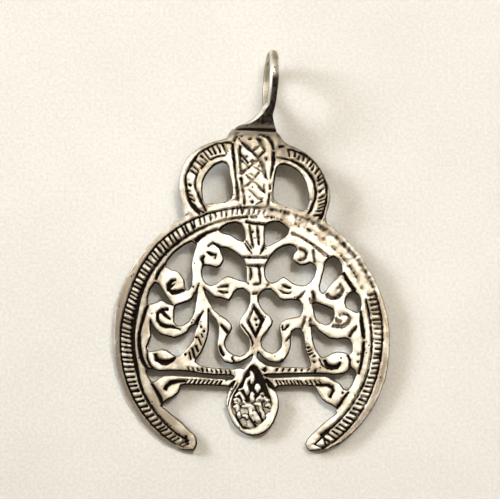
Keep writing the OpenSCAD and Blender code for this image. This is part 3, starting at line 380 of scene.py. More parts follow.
class PendantFinish(bpy.types.PropertyGroup):
    """Colours and polish of the old silver"""

    silver: tint("Silver", "Colour of the polished high places", (0.86, 0.82, 0.73))
    # This black also colours the painted shade along the edges, on the walls and on the bail
    tarnish_and_shade: tint("Tarnish and shade", "Colour of the black in the grooves", (0.01, 0.006, 0.004))
    # This brown also colours the painted shade along the edges that face from the light
    grime_and_shade: tint("Grime and shade", "Warm brown that the tarnish fades into", (0.3, 0.235, 0.16))
    skin_wear: tint("Worn shoulder", "Pinkish beige of the rubbed right shoulder", (0.46, 0.36, 0.27))
    roughness: number("Roughness", "Roughness of the polished silver", subtype="FACTOR", default=0.42, min=0, max=1)


class PendantStage(bpy.types.PropertyGroup):
    """Floor, camera and lights"""

    floor: tint("Floor", "Colour of the floor", (0.735, 0.722, 0.695))
    camera_distance: number("Camera distance", "Distance of the camera from the face",
                            default=0.5, min=0.2, max=2, unit="LENGTH")
    camera_lean: number("Camera lean", "How far the camera leans towards the foot of the picture, from upright",
                        default=math.radians(8), min=0, max=math.radians(45), subtype="ANGLE", unit="ROTATION")
    top_watts: number("Overhead light", "Power of the wide light overhead, in watts", default=0.14, min=0, max=100)
    key_watts: number("Key light", "Power of the light from the upper left, in watts", default=7.7, min=0, max=100)
    sky: number("Room light", "Strength of the light from all round", default=0.63, min=0, max=5)


def deselect_all():
    """Nothing selected and nothing active, in Object mode."""
    if bpy.context.object and bpy.context.object.mode != "OBJECT":
        bpy.ops.object.mode_set(mode="OBJECT")
    bpy.ops.object.select_all(action="DESELECT")
    bpy.context.view_layer.objects.active = None


def activate(piece):
    """Makes a piece the only selected and active one."""
    deselect_all()
    piece.select_set(True)
    bpy.context.view_layer.objects.active = piece


def apply_modifier(piece, kind, **settings):
    """Adds a modifier, sets it and applies it."""
    activate(piece)
    modifier = piece.modifiers.new(kind.title(), kind)
    for name, value in settings.items():
        setattr(modifier, name, value)
    bpy.ops.object.modifier_apply(modifier=modifier.name)


def vertex_places(mesh):
    """The mesh's vertices as an array of rows."""
    places = np.empty(len(mesh.vertices) * 3, np.float64)
    mesh.vertices.foreach_get("co", places)
    return places.reshape(-1, 3)


def place_vertices(mesh, places):
    """Writes an array of rows back as the mesh's vertices."""
    mesh.vertices.foreach_set("co", places.astype(np.float32).ravel())
    mesh.update()


def plate_matrix(mesh):
    """Turns plate millimetres into the frame's metres, read from the largest face of the plate's flat back."""
    back = max((face for face in mesh.polygons if face.normal.z < FACING_DOWN), key=lambda face: face.area)
    down, point = back.normal, back.center
    turn = Matrix.Rotation(math.atan2(down.y, -down.z), 4, "X")
    centre = Vector((CENTRE_U, CENTRE_V, 0)) * MM
    centre.z = point.z + ((point.x - centre.x) * down.x + (point.y - centre.y) * down.y) / down.z
    return Matrix.Translation(centre) @ turn @ Matrix.Scale(MM, 4)


def plate_copy(node):
    """A merged copy of the solid's mesh, in plate millimetres, and the matrix that takes it back."""
    mesh = node.data.copy()
    piece = bpy.data.objects.new("cast_pendant", mesh)
    bpy.context.scene.collection.objects.link(piece)
    activate(piece)
    bpy.ops.object.mode_set(mode="EDIT")
    bpy.ops.mesh.select_all(action="SELECT")
    bpy.ops.mesh.remove_doubles(threshold=MERGE_GAP)
    bpy.ops.object.mode_set(mode="OBJECT")
    matrix = plate_matrix(mesh)
    mesh.transform(matrix.inverted())
    return piece, matrix


def grid_shape():
    """Rows and columns of the maps."""
    return (round((MAP_V[1] - MAP_V[0]) / CELL), round((MAP_U[1] - MAP_U[0]) / CELL))


def filled(triangles):
    """Cells that a set of flat triangles covers, from the winding of their edges."""
    rows, columns = grid_shape()
    flat = (triangles[:, :, :2] - (MAP_U[0], MAP_V[0])) / CELL
    start = flat.reshape(-1, 2)
    end = flat[:, [1, 2, 0]].reshape(-1, 2)
    low = np.minimum(start[:, 1], end[:, 1])
    high = np.maximum(start[:, 1], end[:, 1])
    first = np.ceil(low - 0.5).astype(int)
    count = np.maximum(np.ceil(high - 0.5).astype(int) - first, 0)
    edge = np.repeat(np.arange(len(start)), count)
    row = np.repeat(first, count) + np.arange(count.sum()) - np.repeat(np.cumsum(count) - count, count)
    share = (row + 0.5 - start[edge, 1]) / (end[edge, 1] - start[edge, 1])
    across = start[edge, 0] + share * (end[edge, 0] - start[edge, 0])
    column = np.ceil(across - 0.5).astype(int)
    sign = np.where(end[edge, 1] > start[edge, 1], 1, -1)
    keep = (row >= 0) & (row < rows) & (column >= 0) & (column < columns)
    crossings = np.zeros((rows, columns), np.int32)
    np.add.at(crossings, (row[keep], column[keep]), sign[keep])
    return np.cumsum(crossings, axis=1) != 0


def distance_to(mask, reach_mm):
    """Distance from each cell to the nearest marked one, in millimetres, up to a reach."""
    reach = int(reach_mm / CELL)
    far = float(reach * reach)
    squared = np.where(mask, 0.0, far).astype(np.float32)
    for axis in (1, 0):
        best = squared.copy()
        old, new = np.moveaxis(squared, axis, 0), np.moveaxis(best, axis, 0)
        for step in range(1, reach + 1):
            np.minimum(new[step:], old[:-step] + step * step, out=new[step:])
            np.minimum(new[:-step], old[step:] + step * step, out=new[:-step])
        squared = best
    return np.sqrt(np.minimum(squared, far)) * CELL


def soft_noise(rng, size_mm):
    """Smooth random field over the map, about -1 to 1, with features of that size."""
    rows, columns = grid_shape()
    step = max(1.0, size_mm / CELL)
    coarse = rng.standard_normal((int(rows / step) + 4, int(columns / step) + 4))
    y = np.arange(rows) / step
    x = np.arange(columns) / step
    iy, ix = y.astype(int), x.astype(int)
    fy, fx = y - iy, x - ix
    fy, fx = (fy * fy * (3 - 2 * fy))[:, None], (fx * fx * (3 - 2 * fx))[None, :]
    top = coarse[iy][:, ix] * (1 - fx) + coarse[iy][:, ix + 1] * fx
    bottom = coarse[iy + 1][:, ix] * (1 - fx) + coarse[iy + 1][:, ix + 1] * fx
    return (top * (1 - fy) + bottom * fy) * NOISE_SCALE


def layered_noise(rng, layers):
    """Noise fields of several sizes, added by their shares."""
    return sum(soft_noise(rng, size_mm) * share for size_mm, share in layers)


def ramp(value, low, high):
    """Smooth step from 0 at low to 1 at high."""
    t = np.clip((value - low) / (high - low), 0, 1)
    return t * t * (3 - 2 * t)


def quarter_round(distance, radius):
    """Drop of a rounded edge at a distance in from it."""
    inside = np.clip(1 - distance / radius, 0, 1)
    return radius * (1 - np.sqrt(1 - inside * inside))


def within_strokes(u, v, strokes):
    """How far places lie inside the nearest of a set of strokes, in millimetres; negative outside them."""
    inside = np.full(u.shape, -STROKE_REACH)
    for stroke in strokes:
        for (u0, v0, w0), (u1, v1, w1) in zip(stroke, stroke[1:]):
            near = ((np.abs(u - (u0 + u1) / 2) < abs(u1 - u0) / 2 + STROKE_REACH)
                    & (np.abs(v - (v0 + v1) / 2) < abs(v1 - v0) / 2 + STROKE_REACH))
            x, y = u[near] - u0, v[near] - v0
            along = np.clip((x * (u1 - u0) + y * (v1 - v0)) / ((u1 - u0) ** 2 + (v1 - v0) ** 2), 0, 1)
            away = np.hypot(x - along * (u1 - u0), y - along * (v1 - v0))
            inside[near] = np.maximum(inside[near], w0 + (w1 - w0) * along - away)
    return inside


def hill(distance, width):
    """1 at no distance, falling off to either side over a width."""
    return np.exp(-((distance / width) ** 2))


def fading(distance, width):
    """1 at no distance, fading out with it over a width."""
    return np.exp(-distance / width)


def span(value, places):
    """Smooth band over four places: where it starts, is full, begins to fade and is gone."""
    return ramp(value, places[0], places[1]) * (1 - ramp(value, places[2], places[3]))


def within(value, limits):
    """Cells whose value lies between two limits."""
    return (value > limits[0]) & (value < limits[1])


def flat_masks(mesh):
    """Cells that the solid covers, and those that its face covers between the grooves, from its own triangles."""
    mesh.calc_loop_triangles()
    corners = np.empty(len(mesh.loop_triangles) * 3, np.int32)
    mesh.loop_triangles.foreach_get("vertices", corners)
    triangles = vertex_places(mesh)[corners.reshape(-1, 3)]
    normal = np.cross(triangles[:, 1] - triangles[:, 0], triangles[:, 2] - triangles[:, 0])
    length = np.linalg.norm(normal, axis=1)
    triangles, normal, length = [array[length > 0] for array in (triangles, normal, length)]
    z = triangles[:, :, 2]
    rise = normal[:, 2] / length
    back = (np.abs(z).max(axis=1) < LEVEL_SLACK) & (rise < 0)
    front = (np.abs(z - PLATE_T).max(axis=1) < LEVEL_SLACK) & (rise > 0)
    return filled(triangles[back]), filled(triangles[front])


class Face:
    """What lies where on the plate's face, read from the solid: fields with one value for each cell of the map."""

    def __init__(self, mesh, shape):
        self.solid, raised = flat_masks(mesh)
        rows, columns = grid_shape()
        self.u, self.v = np.meshgrid(MAP_U[0] + (np.arange(columns) + 0.5) * CELL,
                                     MAP_V[0] + (np.arange(rows) + 0.5) * CELL)
        self.radius = np.hypot(self.u, self.v)
        self.angle = np.degrees(np.arctan2(self.v, self.u))
        self.turn = self.angle % 360
        self.add_noise()
        self.add_grooves(raised | (self.solid & (self.v > ROOT_START)), shape)
        self.add_strokes()
        self.add_regions()
        self.add_worn_edges()

    def add_noise(self):
        """Seeded noise, with its streaks laid across the crescent's band."""
        rng = np.random.default_rng(SHAPE_SEED)
        self.waves, self.grain, self.lumps, streaks, self.patches = [
            layered_noise(rng, layers) for layers in (WAVES, GRAIN, LUMPS, STREAKS, PATCHES)]
        along = np.radians(self.angle.ravel()) * BAND_R / STREAK_ALONG
        round_band = np.column_stack((along, self.radius.ravel() / STREAK_ACROSS))
        self.streaks = sampled(streaks, round_band).reshape(self.solid.shape)

    def add_grooves(self, raised, shape):
        """Grooves as wear has widened them, and how far each cell is from them and from the openings."""
        self.hatched = within(self.radius, HATCHED_R)
        self.to_gap = distance_to(~self.solid, GAP_REACH)
        off_end_cut = np.hypot(self.u - END_CUT[0], self.v - END_CUT[1]) > END_CUT_REACH
        cut = self.solid & ~raised & (self.to_gap > BORDER) & off_end_cut
        tip = span(self.turn, LEFT_TIP_ARC) * (self.radius > LEFT_TIP_R)
        widening = shape.groove_widen_mm * np.clip(0.7 + 1.6 * self.streaks, 0.2, 2.2) * (1 - 0.9 * tip)
        worn_left = ramp(-self.u, *INNER_GROOVE_LEFT) * (self.turn < LEFT_TIP_ARC[0])
        widening += INNER_GROOVE_WEAR * within(self.radius, INNER_GROOVE_R) * worn_left
        widened = self.solid & (distance_to(cut, WIDENING_REACH) < widening)
        self.groove = widened & (self.to_gap > WORN_BORDER)
        self.into_groove = distance_to(~self.groove, INSIDE_REACH)
        self.to_groove = distance_to(self.groove, GROOVE_REACH)

    def add_strokes(self):
        """The drop's panel with its figures, and the fine lines on the panel, the crown and the right end."""
        half = np.minimum(PANEL_HALF, PANEL_TOP_HALF + PANEL_WIDENING * (PANEL_TOP - self.v))
        self.panel = self.groove & (np.abs(self.u - PANEL_U) < half)
        self.lower_panel = ramp(-self.v, *PANEL_CHANGE)
        self.figure = within_strokes(self.u, self.v, PANEL_FIGURES)
        self.panel_lines = ramp(within_strokes(self.u, self.v, PANEL_LINES), *PANEL_LINE_EDGE)
        self.crown_lines = ramp(within_strokes(self.u, self.v, CROWN_LINES), *STROKE_EDGE)
        self.end_lines = ramp(within_strokes(self.u, self.v, END_LINES), *STROKE_EDGE)

    def add_regions(self):
        """Parts of the face that have worn or darkened in their own way."""
        u, v, radius = self.u, self.v, self.radius
        self.rim = ramp(radius, RIM_GROOVE_R - RIM_BLEND, RIM_GROOVE_R + RIM_BLEND)
        self.rim *= (v < CROWN_FOOT) | (radius < RIM_OUTER_R)
        self.facet = span(-self.angle, FACET_ARC)
        self.crown = (v > CROWN_FOOT) & (radius > CROWN_R)
        self.off_eyes = np.hypot(np.abs(u - EYE_MIDDLE[0]) - EYE_SPACING, v - EYE_MIDDLE[1]) > EYE_REACH
        self.left = ramp(-u, *LEFT_SIDE)
        self.low = 1 - ramp(v, *LOW_PART)
        self.lower_left = span(self.turn, LOWER_LEFT_ARC)
        self.lower_right = ramp(u, *LOWER_RIGHT_U) * (1 - ramp(v, *LOWER_RIGHT_V)) * (radius > BAND_LIMITS[0])

    def add_worn_edges(self):
        """The rubbed right shoulder with its smear and dots, the rim's bead, and the edges that lie in shade."""
        steep = ramp(self.angle, *STEEP_ARC)
        self.rubbed = span(self.angle, SHOULDER_ARC) * ramp(self.radius, *SHOULDER_INNER_R)
        self.rubbed *= 1 - ramp(self.radius + STEEP_NARROWING * steep, *SHOULDER_OUTER_R)
        self.smear = hill(self.radius - SMEAR_R + STEEP_SHIFT * steep + WOBBLE * self.waves, SMEAR_HALF)
        self.dots = hill(self.radius - DOTS_R + WOBBLE * self.waves, DOTS_HALF)
        self.bead = hill(self.to_gap - BEAD_IN, BEAD_HALF)
        up, across = np.gradient(self.to_gap, CELL)
        self.shaded = np.clip(SHADE_DOWN * up - SHADE_RIGHT * across, 0, 1)
        self.facet_face = self.rim * self.facet * ramp(FACET_REACH - self.to_gap, *FACET_BLEND)


def worn_height(face, shape):
    """Height of the face over the plate's back, in millimetres, before its grooves are cut."""
    to_gap, waves, lumps, rim = face.to_gap, face.waves, face.lumps, face.rim
    edge = np.minimum(to_gap, face.to_groove + LIP_LEAD)
    height = np.full(to_gap.shape, PLATE_T)
    height -= quarter_round(to_gap, shape.edge_round_mm * (1 + 0.25 * waves))
    height -= quarter_round(face.to_groove, LIP_ROUND) * LIP_SHARE
    height -= EDGE_DIP * np.clip(1 - edge / EDGE_DIP_REACH, 0, 1) ** 2
    height -= rim * shape.rim_fall_mm * np.clip(1 - to_gap / RIM_REACH, 0, 1) ** 1.2
    height += rim * (1 - face.facet) * BEAD_HEIGHT * face.bead
    height -= rim * face.facet * np.clip(FACET_REACH - to_gap, 0, FACET_REACH) * FACET_SLOPE
    height -= face.crown * face.off_eyes * CROWN_FALL * np.clip(1 - to_gap / CROWN_REACH, 0, 1) ** 1.5
    height += waves * shape.unevenness_mm + lumps * LUMP_HEIGHT
    height -= face.rubbed * (SHOULDER_WEAR + 0.05 * lumps)
    return height


def cut_height(face, shape, height):
    """The face's height with its grooves, the drop's panel and the fine lines cut into it."""
    lumps, groove, panel = face.lumps, face.groove, face.panel
    depth = np.minimum(GROOVE_START + shape.groove_slope * face.into_groove, shape.groove_depth_mm)
    depth = depth * (1 - 0.45 * face.rubbed)
    depth *= 1 + 0.15 * lumps
    height = np.where(groove, np.minimum(height, PLATE_T - depth + face.grain * GRAIN_HEIGHT), height)
    foot_rise = PANEL_FOOT_RISE + 0.08 * lumps + 0.05 * face.grain
    panel_floor = GROOVE_FLOOR + PANEL_RISE + face.lower_panel * foot_rise
    height = np.where(panel & (face.into_groove > PANEL_WALL), panel_floor, height)
    figure_top = PLATE_T - FIGURE_DROP + 0.05 * lumps - FIGURE_SLOPE * np.clip(FIGURE_ROUND - face.figure, 0, 1)
    height = np.where(panel & (face.figure > FIGURE_EDGE), np.maximum(height, figure_top), height)
    height -= (PANEL_LINE_DEPTH * face.panel_lines * panel + CROWN_LINE_DEPTH * face.crown_lines * ~groove
               + END_LINE_DEPTH * face.end_lines * ~groove)
    return height


# In the maps of marks, a number without a name is a share: how strong a mark is, or how far noise breaks it up
def groove_black(face):
    """Share of black in each groove: all of it, less where the groove is worn or filled."""
    u, v, radius, angle, turn = face.u, face.v, face.radius, face.angle, face.turn
    on_crown = v > CROWN_CUTS_V
    black = 1 - 0.3 * span(angle, TOP_CUTS_ARC) * ~on_crown - 0.2 * on_crown
    black -= 0.15 * on_crown * (np.abs(u) < TONGUE_HALF)
    black -= 0.22 * ramp(u, *RIGHT_CUTS_U) * (radius > RIGHT_CUTS_R)
    left_end = ramp(turn, *LEFT_END_ARC) * (radius > BAND_R) * (turn < LEFT_END_LAST)
    black -= (0.45 + 0.2 * face.lumps) * left_end
    black -= (0.42 + 0.5 * face.streaks) * span(angle, SHOULDER_LINE_ARC) * within(radius, SHOULDER_LINE_R)
    right_scroll = ramp(u, *RIGHT_SCROLL_U) * ramp(v, *RIGHT_SCROLL_V) * (v < RIGHT_SCROLL_TOP)
    black -= (0.42 + 0.25 * face.lumps) * right_scroll * (1 - ramp(radius, *RIGHT_SCROLL_R))
    black -= 0.25 * span(angle, UPPER_LEFT_ARC) * within(radius, UPPER_LEFT_R)
    return black


def tarnish_and_shade_map(face):
    """Black of old silver in the grooves, beside them and in the fine lines, and a painted-shade outline along the
    edges.
    """
    groove, panel, hatched, lumps = face.groove, face.panel, face.hatched, face.lumps
    beside = fading(face.to_groove, 0.12) * (0.45 - 0.2 * hatched)
    dark = np.where(groove, np.clip(0.75 - 0.25 * hatched + face.into_groove * 4, 0, 1), beside)
    dark *= groove_black(face) * np.clip(0.92 + 0.14 * lumps, 0.6, 1)

    beside_figure = hill(face.figure + 0.14, 0.1) * face.lower_panel * (1 + 0.3 * lumps)
    panel_dark = np.maximum(dark * (1 - 0.75 * face.lower_panel), beside_figure)
    dark = np.where(panel, panel_dark * (1 - ramp(face.figure, -0.1, 0.02)), dark)
    dark = np.maximum(dark, 0.9 * face.panel_lines * panel)

    on_shoulder = groove * 0.15 + face.dots * (0.45 + 0.55 * face.streaks)
    on_shoulder = on_shoulder + face.smear * (0.24 + 0.36 * face.streaks) + 0.1 * lumps
    dark = dark * (1 - face.rubbed) + face.rubbed * np.clip(on_shoulder, 0, 1)
    dark = np.maximum(dark, np.maximum(0.6 * face.crown_lines, 0.85 * face.end_lines))

    # Black outline along the openings' edges: thin patina all round, widened by painted shade where an edge faces
    # down and right
    outline = np.exp(-((face.to_gap / (0.12 + 0.23 * face.shaded)) ** 4))
    outline *= 1 - 0.8 * face.crown * face.off_eyes
    return np.maximum(dark, 0.9 * outline * (1 - face.rim * (1 - 0.8 * face.shaded)))


def grime_and_shade_map(face):
    """Brown: dirt by the grooves and in patches, painted shade on shaded edges, and more on the rim, band and crown.
    """
    u, v, rim, hatched, left = face.u, face.v, face.rim, face.hatched, face.left
    off_bead, off_rim = 1 - face.bead, 1 - rim
    grime_and_shade = fading(face.to_groove, 0.22) * (0.6 - 0.35 * hatched)
    # Painted shade: brown along the openings' edges, strongest where they face down and right
    grime_and_shade = grime_and_shade + fading(face.to_gap, 0.22) * (0.1 + (0.6 - 0.3 * face.crown) * face.shaded)
    stem = hill(u, STEM_HALF) * span(v, STEM_V)
    grime_and_shade += np.clip(0.12 + face.patches * 0.4, 0, 0.6) * (1 - 0.7 * stem)
    grime_and_shade += rim * (0.1 + 0.75 * left * (0.35 + 0.65 * face.low) + 0.2 * face.lumps) * off_bead
    on_band = within(face.radius, BAND_LIMITS) * off_rim
    grime_and_shade += on_band * (0.3 * left + 0.3 * face.lower_left) * (1 - 0.7 * hatched * (1 - face.lower_left))
    grime_and_shade += 0.4 * face.facet_face
    grime_and_shade += face.crown * (0.12 + 0.45 * ramp(u, *CROWN_BROWN_U) * ramp(v, *CROWN_BROWN_V))
    grime_and_shade += 0.4 * ramp(v, *BAIL_BROWN_V) + 0.25 * rim * span(face.angle, RIM_BROWN_ARC)
    grime_and_shade += face.lower_right * (0.35 * rim * off_bead + 0.22 * off_rim * (1 - 0.5 * hatched))
    return np.where(face.panel & (face.figure > -0.05), 0.1, grime_and_shade)


def shade_map(face):
    """Dulled silver: on the shoulder, down the left, in the panel's foot and on the crown; painted shadow below the
    bail's root.
    """
    u, v, rim, left, low = face.u, face.v, face.rim, face.left, face.low
    shade = face.smear * (0.6 + 0.5 * face.streaks) + face.dots * (0.35 + 0.55 * face.streaks) + 0.3 * face.groove
    streaky = 0.2 * np.clip(face.streaks + face.lumps * 0.5, 0, 1)
    shade = face.rubbed * np.clip(shade + streaky, 0, 0.85)
    shade += 0.5 * rim * left * (0.25 + 0.75 * low) * (1 - face.lower_left) * (1 - face.bead)
    shade += 0.16 * left * low * (1 - rim) * (1 - 0.8 * face.hatched) * (face.radius > BAND_DULL_R)
    shade += 0.35 * face.panel * face.lower_panel * (face.figure < -0.05)
    # Painted shadow of the bail's root over the brown below it, then the dulled facet
    shade += 0.6 * ramp(v, *BAIL_DULL_AND_SHADOW_V) + 0.1 * face.facet_face
    right_arch = face.crown * span(u, CROWN_DULL_U) * ramp(v, *CROWN_DULL_V)
    shade += 0.5 * right_arch * np.clip(0.5 + face.lumps, 0, 1)
    return shade


def face_maps(mesh, shape):
    """Maps of the plate's face: its height, how it has aged, and where shade is painted on it."""
    face = Face(mesh, shape)
    maps = {
        "height": cut_height(face, shape, worn_height(face, shape)),
        "tarnish_and_shade": tarnish_and_shade_map(face),
        "rubbed": face.rubbed * np.clip(0.6 + 0.35 * face.waves + 0.4 * face.streaks, 0, 1),
        "grime_and_shade": np.clip(grime_and_shade_map(face), 0, 1),
        "shade": np.clip(shade_map(face), 0, 1),
    }
    return {name: field.astype(np.float32) for name, field in maps.items()}


def blend_root(piece):
    """Rounds the corners of the bail's root and of its join with the ring."""
    v = vertex_places(piece.data)[:, 1]
    near = span(v, (ROOT_BLEND[0], ROOT_BLEND[0] + 0.8, ROOT_BLEND[1] - 1, ROOT_BLEND[1]))
    group = piece.vertex_groups.new(name="root")
    for level in range(1, BLEND_LEVELS + 1):
        chosen = np.flatnonzero(np.ceil(near * BLEND_LEVELS) == level)
        group.add(chosen.tolist(), level / BLEND_LEVELS, "REPLACE")
    apply_modifier(piece, "SMOOTH", factor=0.5, iterations=BLEND_ROUNDS, vertex_group="root")
    piece.vertex_groups.clear()


def filed(places):
    """How far places are inside the facet along the left edge of the bail's root, 0 to 1 at the edge itself."""
    u, v = places[:, 0], places[:, 1]
    off_edge = u - np.interp(v, ROOT_EDGE_V, ROOT_EDGE_U)
    along = span(v, (ROOT_EDGE_V[0], ROOT_EDGE_V[1], ROOT_EDGE_V[-1], ROOT_EDGE_V[-1] + 1))
    return along * np.clip(1 - off_edge / ROOT_FACET, 0, 1)


def root_fall(places):
    """How far the root's face is rounded down to either side of its middle, in millimetres."""
    u, v = places[:, 0], places[:, 1]
    left = np.interp(v, ROOT_EDGE_V, ROOT_EDGE_U)
    off_middle = (2 * u - left - ROOT_RIGHT_U) / (ROOT_RIGHT_U - left)
    along = span(v, (ROOT_EDGE_V[0] - 0.5, ROOT_EDGE_V[1], ROOT_EDGE_V[-1] - 0.8, ROOT_EDGE_V[-1] + 0.6))
    return ROOT_ROUND * along * np.clip(off_middle, -1, 1) ** 2


def bail_marks(places, normals):
    """Marks of the bail: bright down its left edge, painted shade where its face turns from the light, brown on top.
    """
    u, v, z = places.T
    # Painted shade: the face darkens where it turns away from the key light at the left
    turned_from_light = (1 - ramp(-normals[:, 0], 0.15, 0.5)) * (1 - ramp(filed(places), 0, 0.25))
    near = np.maximum(ramp(z, *RING_Z), v < ROOT_BLEND[1] - 1)
    face = span(v, (DARK_FACE[0] - 0.4, DARK_FACE[0], DARK_FACE[1] - 0.6, DARK_FACE[1] + 0.4)) * near
    top = ramp(v, BROWN_TOP - 0.4, BROWN_TOP + 0.8) * ramp(normals[:, 2], 0.1, 0.6)
    foot = 1 - ramp(v, DARK_FACE[0] - 0.1, DARK_FACE[0] + 0.2)
    # Painted shade: a thin dark line along the outermost left edge of the root and the ring, as of a wall in shade
    edge = np.maximum(ramp(filed(places), 0.8, 0.95), ramp(-normals[:, 0], 0.8, 0.97) * (v > ROOT_EDGE_V[-1]))
    duller = 0.75 + 0.25 * ramp(v, ROOT_EDGE_V[0] - 0.4, ROOT_EDGE_V[1])
    seam = ramp(within_strokes(u, v, ROOT_SEAM), *SEAM_BLACK_EDGE)
    return {
        "tarnish_and_shade": np.maximum(0.25 * turned_from_light * face, seam),
        "rubbed": 0,
        "grime_and_shade": np.clip(0.15 + 0.5 * turned_from_light * face + 0.9 * top * turned_from_light + 0.6 * foot + 0.6 * edge, 0, 1),
        "shade": np.maximum.reduce([turned_from_light * (face * duller), 0.35 * foot, 0.4 * edge]),
    }


def sampled(field, places):
    """A map's values at a set of places, blended between cells."""
    rows, columns = field.shape
    x = np.clip((places[:, 0] - MAP_U[0]) / CELL - 0.5, 0, columns - 1.001)
    y = np.clip((places[:, 1] - MAP_V[0]) / CELL - 0.5, 0, rows - 1.001)
    ix, iy = x.astype(int), y.astype(int)
    fx, fy = x - ix, y - iy
    low = field[iy, ix] * (1 - fx) + field[iy, ix + 1] * fx
    high = field[iy + 1, ix] * (1 - fx) + field[iy + 1, ix + 1] * fx
    return low * (1 - fy) + high * fy


def fill_grooves(mesh):
    """Fills the grooves up to the face, so that the skin is even before they are pressed in."""
    places = vertex_places(mesh)
    step = (np.abs(places[:, 2] - GROOVE_FLOOR) < LEVEL_SLACK) & (places[:, 1] < ROOT_END)
    places[step, 2] = PLATE_T
    place_vertices(mesh, places)


def press_face(mesh, height):
    """Brings the skin down to the map's height, and cuts the seam and the filed facet at the bail's root."""
    places = vertex_places(mesh)
    on_plate = 1 - ramp(places[:, 1], ROOT_START, ROOT_END)
    share = sampled(height, places) / PLATE_T
    level = np.clip(places[:, 2] / PLATE_T, 0, 1)
    places[:, 2] *= 1 + (share - 1) * on_plate * level
    seam = ramp(within_strokes(places[:, 0], places[:, 1], ROOT_SEAM), *SEAM_EDGE)
    places[:, 2] -= SEAM_DEPTH * seam * ramp(places[:, 2], *SEAM_Z)
    fall = FILED_SLOPE * ROOT_FACET * filed(places) + root_fall(places)
    places[:, 2] -= fall * ramp(places[:, 2], *ROOT_Z)
    place_vertices(mesh, places)


def store_marks(mesh, maps):
    """Stores at each vertex its age marks and painted shade for the material: the face, the openings' walls and the
    bail.
    """
    places = vertex_places(mesh)
    on_plate = 1 - ramp(places[:, 1], ROOT_START, ROOT_END)
    lowered = ramp(sampled(maps["height"], places) - places[:, 2], *WALL_DROP)
    on_face, on_wall, off_plate = on_plate * (1 - lowered), on_plate * lowered, 1 - on_plate
    normals = np.empty(len(mesh.vertices) * 3, np.float64)
    mesh.vertices.foreach_get("normal", normals)
    bail = bail_marks(places, normals.reshape(-1, 3))
    # The walls of the openings are darkened all over: their patina, and painted shade
    for name, wall in WALL_PATINA_AND_SHADE.items():
        values = sampled(maps[name], places) * on_face + wall * on_wall + bail[name] * off_plate
        layer = mesh.attributes.new(name, "FLOAT", "POINT")
        layer.data.foreach_set("value", np.clip(values, 0, 1).astype(np.float32))


class PENDANT_OT_cast_pendant(bpy.types.Operator):
    """Rebuild the pendant's skin from its solid, with worn edges, hollow grooves and a sloping rim"""

    bl_idname = "pendant.cast_pendant"
    bl_label = "Cast pendant"

    def execute(self, context):
        shape = context.scene.pendant_shape
        piece, matrix = plate_copy(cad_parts[NODE])
        maps = face_maps(piece.data, shape)

        fill_grooves(piece.data)
        apply_modifier(piece, "REMESH", mode="VOXEL", voxel_size=shape.voxel_mm, adaptivity=0.0)
        apply_modifier(piece, "SMOOTH", factor=0.5, iterations=SKIN_ROUNDS)
        blend_root(piece)
        press_face(piece.data, maps["height"])

        piece.data.calc_loop_triangles()
        ratio = shape.triangle_limit / len(piece.data.loop_triangles)
        if ratio < 1:
            apply_modifier(piece, "DECIMATE", ratio=ratio)

        mesh = piece.data
        store_marks(mesh, maps)
        mesh.transform(matrix)
        mesh.shade_smooth()
        mesh.materials.clear()
        mesh.materials.append(aged_silver(context.scene.pendant_finish))
        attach(piece, "root")
        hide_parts(NODE)
        return {"FINISHED"}


def fresh_material(name):
    """A material with nothing but its output and Principled shader."""
    material = bpy.data.materials.new(name)
    material.use_nodes = True
    tree = material.node_tree
    tree.nodes.clear()
    shader = add_node(tree, "ShaderNodeBsdfPrincipled")
    add_node(tree, "ShaderNodeOutputMaterial", {"Surface": shader.outputs["BSDF"]})
    return material, tree, shader


def feed(tree, value, socket):
    """Gives an input its value: a link from another socket, a plain number or a colour."""
    if isinstance(value, bpy.types.NodeSocket):
        tree.links.new(value, socket)
    elif isinstance(value, (int, float)):
        socket.default_value = value
    else:
        socket.default_value = (*value, 1)


def add_node(tree, kind, inputs=None, **settings):
    """A shader node with its settings, and with its inputs fed by name or number."""
    node = tree.nodes.new(kind)
    for name, value in settings.items():
        setattr(node, name, value)
    for name, value in (inputs or {}).items():
        feed(tree, value, node.inputs[name])
    return node


def object_place(tree):
    """Coordinates of the piece itself, in metres."""
    return add_node(tree, "ShaderNodeTexCoord").outputs["Object"]


def noise(tree, place, scale, detail=3.0, roughness=0.6):
    """Noise over a set of coordinates, from 0 to 1, with so many features a metre."""
    inputs = {"Vector": place, "Scale": scale, "Detail": detail, "Roughness": roughness}
    return add_node(tree, "ShaderNodeTexNoise", inputs).outputs["Fac"]


def remap(tree, value, low, high, to_low=0.0, to_high=1.0):
    """Smooth step of a value from one range to another."""
    inputs = {"Value": value, "From Min": low, "From Max": high, "To Min": to_low, "To Max": to_high}
    return add_node(tree, "ShaderNodeMapRange", inputs, interpolation_type="SMOOTHSTEP").outputs["Result"]


def maths(tree, operation, first, second):
    """One sum on two values, each a number or a socket."""
    return add_node(tree, "ShaderNodeMath", {0: first, 1: second}, operation=operation).outputs["Value"]


def mixed(tree, share, first, second):
    """Colour between two, each a colour or a socket."""
    inputs = {MIX_SHARE: share, MIX_FIRST: first, MIX_SECOND: second}
    return add_node(tree, "ShaderNodeMix", inputs, data_type="RGBA").outputs[MIX_RESULT]


def swing(tree, field, middle, amount):
    """A noise field's departure from a middle value, times an amount."""
    return maths(tree, "MULTIPLY", maths(tree, "SUBTRACT", field, middle), amount)


def attribute(tree, name):
    """Value that is stored at each vertex under a name."""
    return add_node(tree, "ShaderNodeAttribute", attribute_name=name).outputs["Fac"]


def roughen(tree, shader, relief, strength, distance):
    """Fine relief on a shader's surface, so many metres high."""
    bump = add_node(tree, "ShaderNodeBump", {"Strength": strength, "Distance": distance, "Height": relief})
    tree.links.new(bump.outputs["Normal"], shader.inputs["Normal"])


